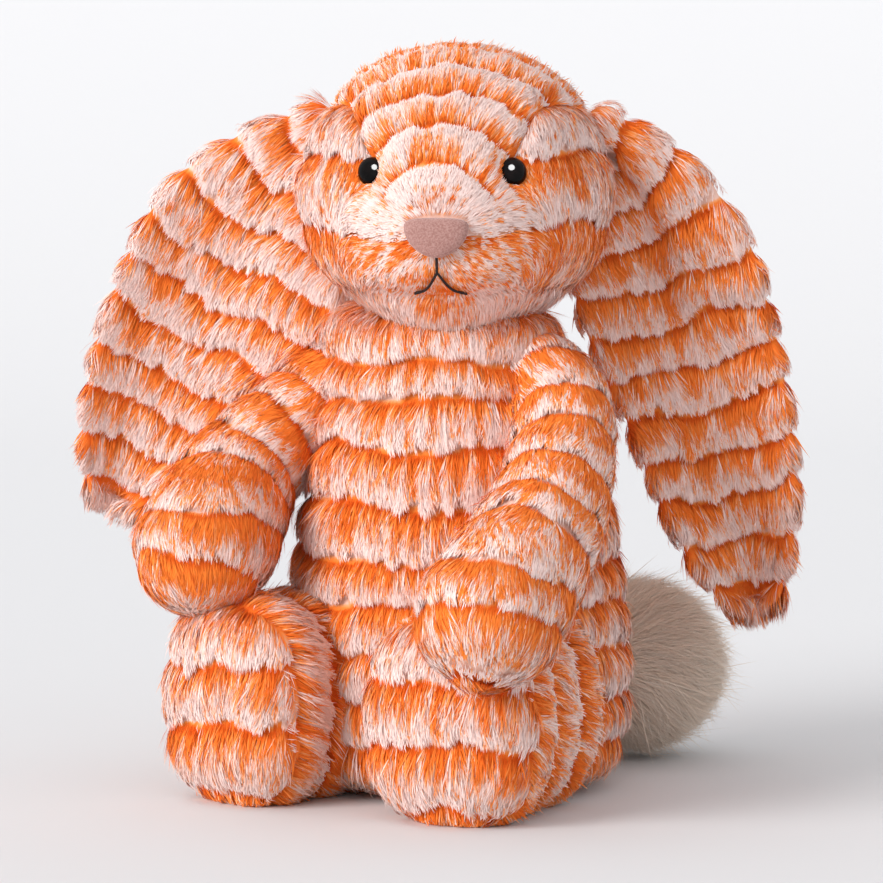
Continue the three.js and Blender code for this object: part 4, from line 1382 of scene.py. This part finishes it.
@dataclass(frozen=True)
class PileFinish(Finish):
    """Dyed pile: the strand map's height runs through the stops, its width varies each strand."""

    stops: tuple[tuple[float, str], ...] = ()
    brightness: tuple[float, float] = (0.9, 1.08)

    def make(self) -> bpy.types.Material:
        """The material."""
        material, tree, shader = self.start()
        strand_map = tree.nodes.new("ShaderNodeUVMap")
        strand_map.uv_map = STRAND_MAP
        parts = tree.nodes.new("ShaderNodeSeparateXYZ")
        ramp = tree.nodes.new("ShaderNodeValToRGB")
        elements = ramp.color_ramp.elements
        while len(elements) > 1:
            elements.remove(elements[-1])
        for k, (place, code) in enumerate(self.stops):
            element = elements[0] if k == 0 else elements.new(place)
            element.position = place
            element.color = colour(code)
        darkest, brightest = self.brightness
        tint = self.place(tree, strand_tint(), Darkest=darkest, Brightest=brightest)
        link = tree.links.new
        link(strand_map.outputs["UV"], parts.inputs["Vector"])
        link(parts.outputs["Y"], ramp.inputs["Fac"])
        link(parts.outputs["X"], tint.inputs["Strand"])
        link(ramp.outputs["Color"], tint.inputs["Dye"])
        link(tint.outputs["Color"], shader.inputs["Base Color"])
        return material


STRIPED = PileFinish(
    "striped_pile",
    roughness=0.9,
    specular=0.15,
    stops=(
        # The first stops are partly the roots' own deep orange and partly painted shade in the crease under
        # each tier's edge.
        (0.0, "d23a0c"),
        (0.08, "e65a18"),
        (0.20, "fa8232"),
        (0.37, "fc9248"),
        (0.49, "fbac76"),
        (0.58, "f9c6ae"),
        (0.70, "f9d7cc"),
        (1.0, "fae0d9"),
    ),
)
CREAM = PileFinish("cream_pile", roughness=0.9, specular=0.15, stops=((0.0, "f4dcc6"), (1.0, "fff6ea")))


@dataclass(frozen=True)
class MottledFinish(Finish):
    """A finish of two close colours in a fine grain, with a matching bump."""

    first: str = "ffffff"
    second: str = "eeeeee"
    grain: float = 0.001
    bump: float = 0.2

    def make(self) -> bpy.types.Material:
        """The material."""
        material, tree, shader = self.start()
        coordinates = tree.nodes.new("ShaderNodeTexCoord")
        first, second = colour(self.first), colour(self.second)
        grain = self.place(tree, fine_grain(), Scale=1.0 / self.grain, First=first, Second=second)
        bump = tree.nodes.new("ShaderNodeBump")
        bump.inputs["Strength"].default_value = self.bump
        bump.inputs["Distance"].default_value = self.grain
        link = tree.links.new
        link(coordinates.outputs["Object"], grain.inputs["Vector"])
        link(grain.outputs["Color"], shader.inputs["Base Color"])
        link(grain.outputs["Height"], bump.inputs["Height"])
        link(bump.outputs["Normal"], shader.inputs["Normal"])
        return material


FIBRE = MottledFinish("fibre_fill", roughness=1.0, first="f4f2ee", second="dedad2", grain=0.003, bump=0.6)
POUCH = MottledFinish("pouch_cloth", roughness=0.9, first="d9d4cc", second="c4beb4", grain=0.0012)
WASHER = MottledFinish(
    "washer_plastic", roughness=0.4, first="dedede", second="d4d4d4", grain=0.004, bump=0.05
)
VELOUR = MottledFinish(
    "nose_velour", roughness=0.95, sheen=0.4, first="9c6e65", second="b98f87", grain=0.00045, bump=0.35
)
THREAD = MottledFinish(
    "mouth_thread", roughness=0.8, first="1a1414", second="2a2020", grain=0.0006, bump=0.3
)
EYE = MottledFinish(
    "eye_plastic", roughness=0.08, specular=0.1, first="010101", second="030202", grain=0.002, bump=0.0
)


@dataclass
class Stage:
    """The pale sweep, the soft lights and the camera at the photograph's view.

    The sweep and the lamps are in metres; lamps stand at an azimuth from the camera's and an elevation.
    """

    azimuth: float = 30.0
    elevation: float = 5.0
    distance: float = 1200.0
    aim: tuple[float, float, float] = (-3.6, -2.1, 93.4)
    lens: float = 181.0
    floor_colour: str = "e1e1e2"
    floor_half: float = 3.0
    backdrop_height: float = 4.0
    bend_radius: float = 2.0
    ambience_colour: str = "f6f6f8"
    ambience: float = 0.82
    lamp_distance: float = 1.5
    lamp_aim: float = 0.1
    key_place: tuple[float, float] = (-54.0, 22.0)
    key_power: float = 2.6
    key_spread: float = 32.0
    spark_place: tuple[float, float] = (6.0, 40.0)
    spark_power: float = 330.0
    spark_size: float = 1.1

    def direction(self, azimuth: float, elevation: float) -> Vector:
        """The way from the object towards a viewer or lamp."""
        a, e = math.radians(azimuth), math.radians(elevation)
        return Vector((math.sin(a) * math.cos(e), -math.cos(a) * math.cos(e), math.sin(e)))

    def camera(self) -> None:
        """Sets the camera."""
        data = bpy.data.cameras.new("camera")
        data.lens, data.sensor_width = self.lens, 36.0
        data.clip_start, data.clip_end = 0.01, 50.0
        camera = bpy.data.objects.new("camera", data)
        bpy.context.scene.collection.objects.link(camera)
        back = self.direction(self.azimuth, self.elevation)
        camera.location = Vector(self.aim) * MM + back * self.distance * MM
        camera.rotation_euler = (-back).to_track_quat("-Z", "Y").to_euler()
        bpy.context.scene.camera = camera

    def sweep(self) -> None:
        """A floor that bends up into a backdrop, behind the object as the camera sees it."""
        mesh = bmesh.new()
        bmesh.ops.create_grid(mesh, x_segments=1, y_segments=1, size=self.floor_half)
        far = [e for e in mesh.edges if all(v.co.y > self.floor_half - 0.1 for v in e.verts)]
        risen = bmesh.ops.extrude_edge_only(mesh, edges=far)["geom"]
        upper = [g for g in risen if isinstance(g, bmesh.types.BMVert)]
        bmesh.ops.translate(mesh, verts=upper, vec=(0.0, 0.0, self.backdrop_height))
        bmesh.ops.bevel(
            mesh,
            geom=far,
            offset=self.bend_radius,
            segments=24,
            profile=0.5,
            affect="EDGES",
            material=-1,
        )
        turn = Matrix.Rotation(math.radians(self.azimuth), 3, "Z")
        bmesh.ops.rotate(mesh, verts=mesh.verts, matrix=turn)
        data = bpy.data.meshes.new("sweep")
        mesh.to_mesh(data)
        mesh.free()
        for polygon in data.polygons:
            polygon.use_smooth = True
        floor = bpy.data.objects.new("sweep", data)
        bpy.context.scene.collection.objects.link(floor)
        material, _, shader = Finish("pale_sweep", roughness=0.9, specular=0.1).start()
        shader.inputs["Base Color"].default_value = colour(self.floor_colour)
        data.materials.append(material)

    def lamp(self, name: str, kind: str, place: tuple[float, float]) -> bpy.types.Object:
        """A lamp that looks at the bunny."""
        lamp = bpy.data.objects.new(name, bpy.data.lights.new(name, kind))
        bpy.context.scene.collection.objects.link(lamp)
        way = self.direction(self.azimuth + place[0], place[1])
        lamp.location = Vector((0.0, 0.0, self.lamp_aim)) + way * self.lamp_distance
        lamp.rotation_euler = (-way).to_track_quat("-Z", "Y").to_euler()
        return lamp

    def spark(self, eyes: list[bpy.types.Object]) -> None:
        """A lamp that only the eyes catch."""
        caught = bpy.data.collections.new("spark_receivers")
        for eye in eyes:
            caught.objects.link(eye)
        lamp = self.lamp("spark", "AREA", self.spark_place)
        lamp.data.shape, lamp.data.size, lamp.data.energy = "DISK", self.spark_size, self.spark_power
        lamp.light_linking.receiver_collection = caught

    def build(self) -> None:
        """Sets the camera, the sweep, the ambience and the key light."""
        scene = bpy.context.scene
        scene.view_settings.view_transform = "Standard"
        world = bpy.data.worlds.new("studio")
        world.use_nodes = True
        background = world.node_tree.nodes["Background"]
        background.inputs["Color"].default_value = colour(self.ambience_colour)
        background.inputs["Strength"].default_value = self.ambience
        scene.world = world
        self.camera()
        self.sweep()
        key = self.lamp("key", "SUN", self.key_place)
        key.data.energy, key.data.angle = self.key_power, math.radians(self.key_spread)
        key.visible_glossy = False


def plain_piece(name: str, skin: Skin, material: bpy.types.Material) -> bpy.types.Object:
    """Makes a smooth object without pile from a skin.

    Args:
        name: the piece's name.
        skin: its surface in millimetres.
        material: its finish.

    Returns:
        The object, linked to the scene.
    """
    mesh = bpy.data.meshes.new(name)
    mesh.from_pydata((skin.points * MM).tolist(), [], skin.triangles.tolist())
    mesh.polygons.foreach_set("use_smooth", np.ones(len(mesh.polygons), bool))
    mesh.materials.append(material)
    piece = bpy.data.objects.new(name, mesh)
    bpy.context.scene.collection.objects.link(piece)
    return piece


@dataclass
class Face:
    """The eyes, the nose and the mouth, set in the head's surface."""

    head: Head
    eye_height: float = 3.4
    eye_sink: float = 0.6
    nose_tilt: float = math.radians(4.0)
    nose_fullness: float = 2.4
    nose_lift: float = 0.6
    nose_edge: float = 0.7
    thread_radius: float = 0.36
    thread_lift: float = 0.6
    stem_top: float = -19.0
    fork: float = -25.5
    corner: tuple[float, float] = (10.8, -36.5)
    swag: float = 0.45

    def spot(self, side: float, rise: float, lift: float) -> Array:
        """A place above the head's surface, in the part's frame."""
        direction = towards(side, rise)
        return self.head.frame.to_part(direction * (self.head.form(direction[None])[0] + lift))

    def set_on_head(self, piece: bpy.types.Object, node: str) -> bpy.types.Object:
        """Makes a piece ride with the head in place of a node."""
        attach(piece, self.head.body)
        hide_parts(node)
        return piece

    def eye(self, label: str, side: float, material: bpy.types.Material) -> bpy.types.Object:
        """A domed button."""
        middle = self.spot(side * self.head.eye[0], self.head.eye[1], -self.eye_sink)
        outwards = towards(side * self.head.eye[0], self.head.eye[1]) @ self.head.frame.matrix().T
        turn = np.array(Vector((0.0, 0.0, 1.0)).rotation_difference(Vector(outwards)).to_matrix())
        sizes = np.array([self.head.eye_radius, self.head.eye_radius, self.eye_height])

        def shape(angle: Array, share: Array) -> tuple[Array, Array]:
            return middle + (ball_directions(angle, share) * sizes) @ turn.T, share[:, None]

        piece = plain_piece(f"{label}_eye_button", Skin.loft(40, 24, shape), material)
        return self.set_on_head(piece, f"{label}_eye")

    def nose(self, material: bpy.types.Material) -> bpy.types.Object:
        """A plump, rounded triangle that points down."""
        middle = self.spot(*self.head.nose, self.nose_lift)
        s, c = math.sin(self.nose_tilt), math.cos(self.nose_tilt)
        axes = np.array([(1.0, 0.0, 0.0), (0.0, s, c), (0.0, -c, s)]) @ self.head.frame.matrix().T
        middle = middle + axes[1] * self.head.nose_outline.raised

        def shape(angle: Array, share: Array) -> tuple[Array, Array]:
            way = np.stack([np.cos(angle), np.sin(angle)], axis=1)
            outline = 1.0 / self.head.nose_outline.share(way[:, 0], way[:, 1])
            ring = np.sin(share * math.pi) ** self.nose_edge
            flat = way * (outline * ring)[:, None]
            thick = -np.cos(share * math.pi) * self.nose_fullness
            return middle + flat @ axes[:2] + thick[:, None] * axes[2], share[:, None]

        piece = plain_piece("nose_pad", Skin.loft(72, 36, shape), material)
        return self.set_on_head(piece, "nose")

    def mouth(self, material: bpy.types.Material) -> bpy.types.Object:
        """A thread that forks under the nose."""
        side, low = self.corner
        fork = self.spot(0.0, self.fork, self.thread_lift)
        lines = [np.stack([self.spot(0.0, self.stem_top, self.thread_lift), fork])]
        for way in (1.0, -1.0):
            bend = self.spot(way * side * self.swag, (self.fork + 2.0 * low) / 3.0, self.thread_lift)
            corner = self.spot(way * side, low, self.thread_lift)
            lines.append(smooth_line(np.stack([fork, bend, corner]), 8))
        data = bpy.data.curves.new("mouth_thread", "CURVE")
        data.dimensions, data.bevel_depth, data.bevel_resolution = "3D", self.thread_radius * MM, 3
        data.use_fill_caps = True
        for line in lines:
            spline = data.splines.new("POLY")
            spline.points.add(len(line) - 1)
            for point, place in zip(spline.points, line * MM):
                point.co = (*place, 1.0)
        data.materials.append(material)
        piece = bpy.data.objects.new("mouth_thread", data)
        bpy.context.scene.collection.objects.link(piece)
        return self.set_on_head(piece, "mouth_stitch")


@dataclass
class Bunny:
    """The whole toy, put together from its pieces."""

    pivots: dict[str, Array]
    striped: bpy.types.Material
    cream: bpy.types.Material
    tail_centre: tuple[float, float, float] = (20.0, 67.6, 26.2)

    def torso(self) -> None:
        """The body's front and back."""
        rooms = {"left_arm": 12.0, "right_arm": 12.0, "left_leg": 22.0, "right_leg": 22.0, "tail": 8.0}
        sockets = tuple((self.pivots[child], radius) for child, radius in rooms.items())
        for label, way in (("front", -1.0), ("back", 1.0)):
            Torso(
                f"torso_{label}_fur",
                "torso",
                ("body_cover",),
                "striped_fur",
                BODY_PILE,
                100,
                side_kept=(0.0, way, 0.0),
                sockets=sockets,
                paleness=-0.09,
            ).build(self.striped)

    def head(self) -> Head:
        """The head's face and back."""
        for label, way in (("back", 1.0), ("face", -1.0)):
            head = Head(
                f"head_{label}_fur",
                "head",
                ("head_cover",),
                "striped_fur",
                HEAD_PILE,
                200,
                paleness=0.03,
            )
            head.side_kept = tuple(head.frame.matrix() @ (0.0, way, 0.0))
            head.build(self.striped)
        return head

    def ears(self) -> None:
        """Both ears, each with its own hang."""
        Ear(
            "left_ear_fur",
            "left_ear",
            ("left_ear_front", "left_ear_back"),
            "striped_fur",
            EAR_PILE,
            300,
            fill=0.4,
            paleness=-0.12,
            side=1.0,
            offsets=((14.0, 4.0, -14.0), (26.0, 18.0, -57.0), (45.0, 22.0, -135.0)),
        ).build(self.striped)
        Ear(
            "right_ear_fur",
            "right_ear",
            ("right_ear_front", "right_ear_back"),
            "striped_fur",
            EAR_PILE,
            301,
            fill=0.4,
            # Painted light: the right ear, on the key light's side, is dyed paler than the left one.
            paleness=0.03,
            side=-1.0,
            offsets=((15.0, 1.0, -11.0), (39.0, 13.0, -51.0), (66.0, 31.0, -109.0)),
            roll_outer=False,
            flap=14.0,
            roll_from=0.35,
            roll_end=0.6,
        ).build(self.striped)

    def limbs(self) -> None:
        """Arms, legs and soles."""
        arm_bends = {
            "left": ((11.0, -26.0, -24.0), (13.0, -62.0, -49.0)),
            "right": ((13.0, -20.0, -18.0), (11.0, -46.0, -38.0)),
        }
        splays = {"left": math.radians(6.0), "right": math.radians(14.0)}
        for seed, (label, side) in enumerate((("left", 1.0), ("right", -1.0))):
            arm, leg = f"{label}_arm", f"{label}_leg"
            Arm(
                f"{arm}_fur",
                arm,
                (f"{arm}_cover",),
                "striped_fur",
                LIMB_PILE,
                400 + seed,
                paleness=-0.21,
                side=side,
                shoulder=self.pivots[arm],
                offsets=arm_bends[label],
            ).build(self.striped)
            for kind, name, node in (
                (Leg, f"{leg}_fur", f"{leg}_cover"),
                (Sole, f"{label}_sole_fur", f"{label}_sole"),
            ):
                kind(
                    name,
                    leg,
                    (node,),
                    "striped_fur",
                    BODY_PILE,
                    500 + seed,
                    paleness=-0.04,
                    side=side,
                    hip=self.pivots[leg],
                    splay=splays[label],
                ).build(self.striped)

    def tail(self) -> None:
        """The tail."""
        Tail(
            "tail_hair",
            "tail",
            ("tail_cover",),
            "cream_fur",
            TAIL_PILE,
            700,
            centre=np.array(self.tail_centre),
            root=self.pivots["tail"],
        ).build(self.cream)


def dress_hidden_nodes(nodes: dict[str, bpy.types.Object]) -> None:
    """Gives the fill, the pouch and the washers their finishes."""
    finishes = {"stuffing": FIBRE.make(), "bean_pouch": POUCH.make(), "washer": WASHER.make()}
    for name, node in nodes.items():
        for part, material in finishes.items():
            if part in name:
                node.data.materials.clear()
                node.data.materials.append(material)


def main() -> None:
    """Builds the bunny in order and logs each fur piece."""
    logging.basicConfig(level=logging.INFO, format="%(name)s %(message)s")
    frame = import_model()
    stage = Stage()
    stage.build()

    pivots = {joint["child"]: np.array(joint["pos_m"]) / MM for joint in frame["joints"]}
    bunny = Bunny(pivots, STRIPED.make(), CREAM.make())
    bunny.torso()
    face = Face(bunny.head())
    bunny.ears()
    bunny.limbs()
    bunny.tail()
    eye_plastic = EYE.make()
    stage.spark([face.eye(label, side, eye_plastic) for label, side in (("left", 1.0), ("right", -1.0))])
    face.nose(VELOUR.make())
    face.mouth(THREAD.make())
    dress_hidden_nodes(frame["nodes"])


if __name__ == "__main__":
    main()
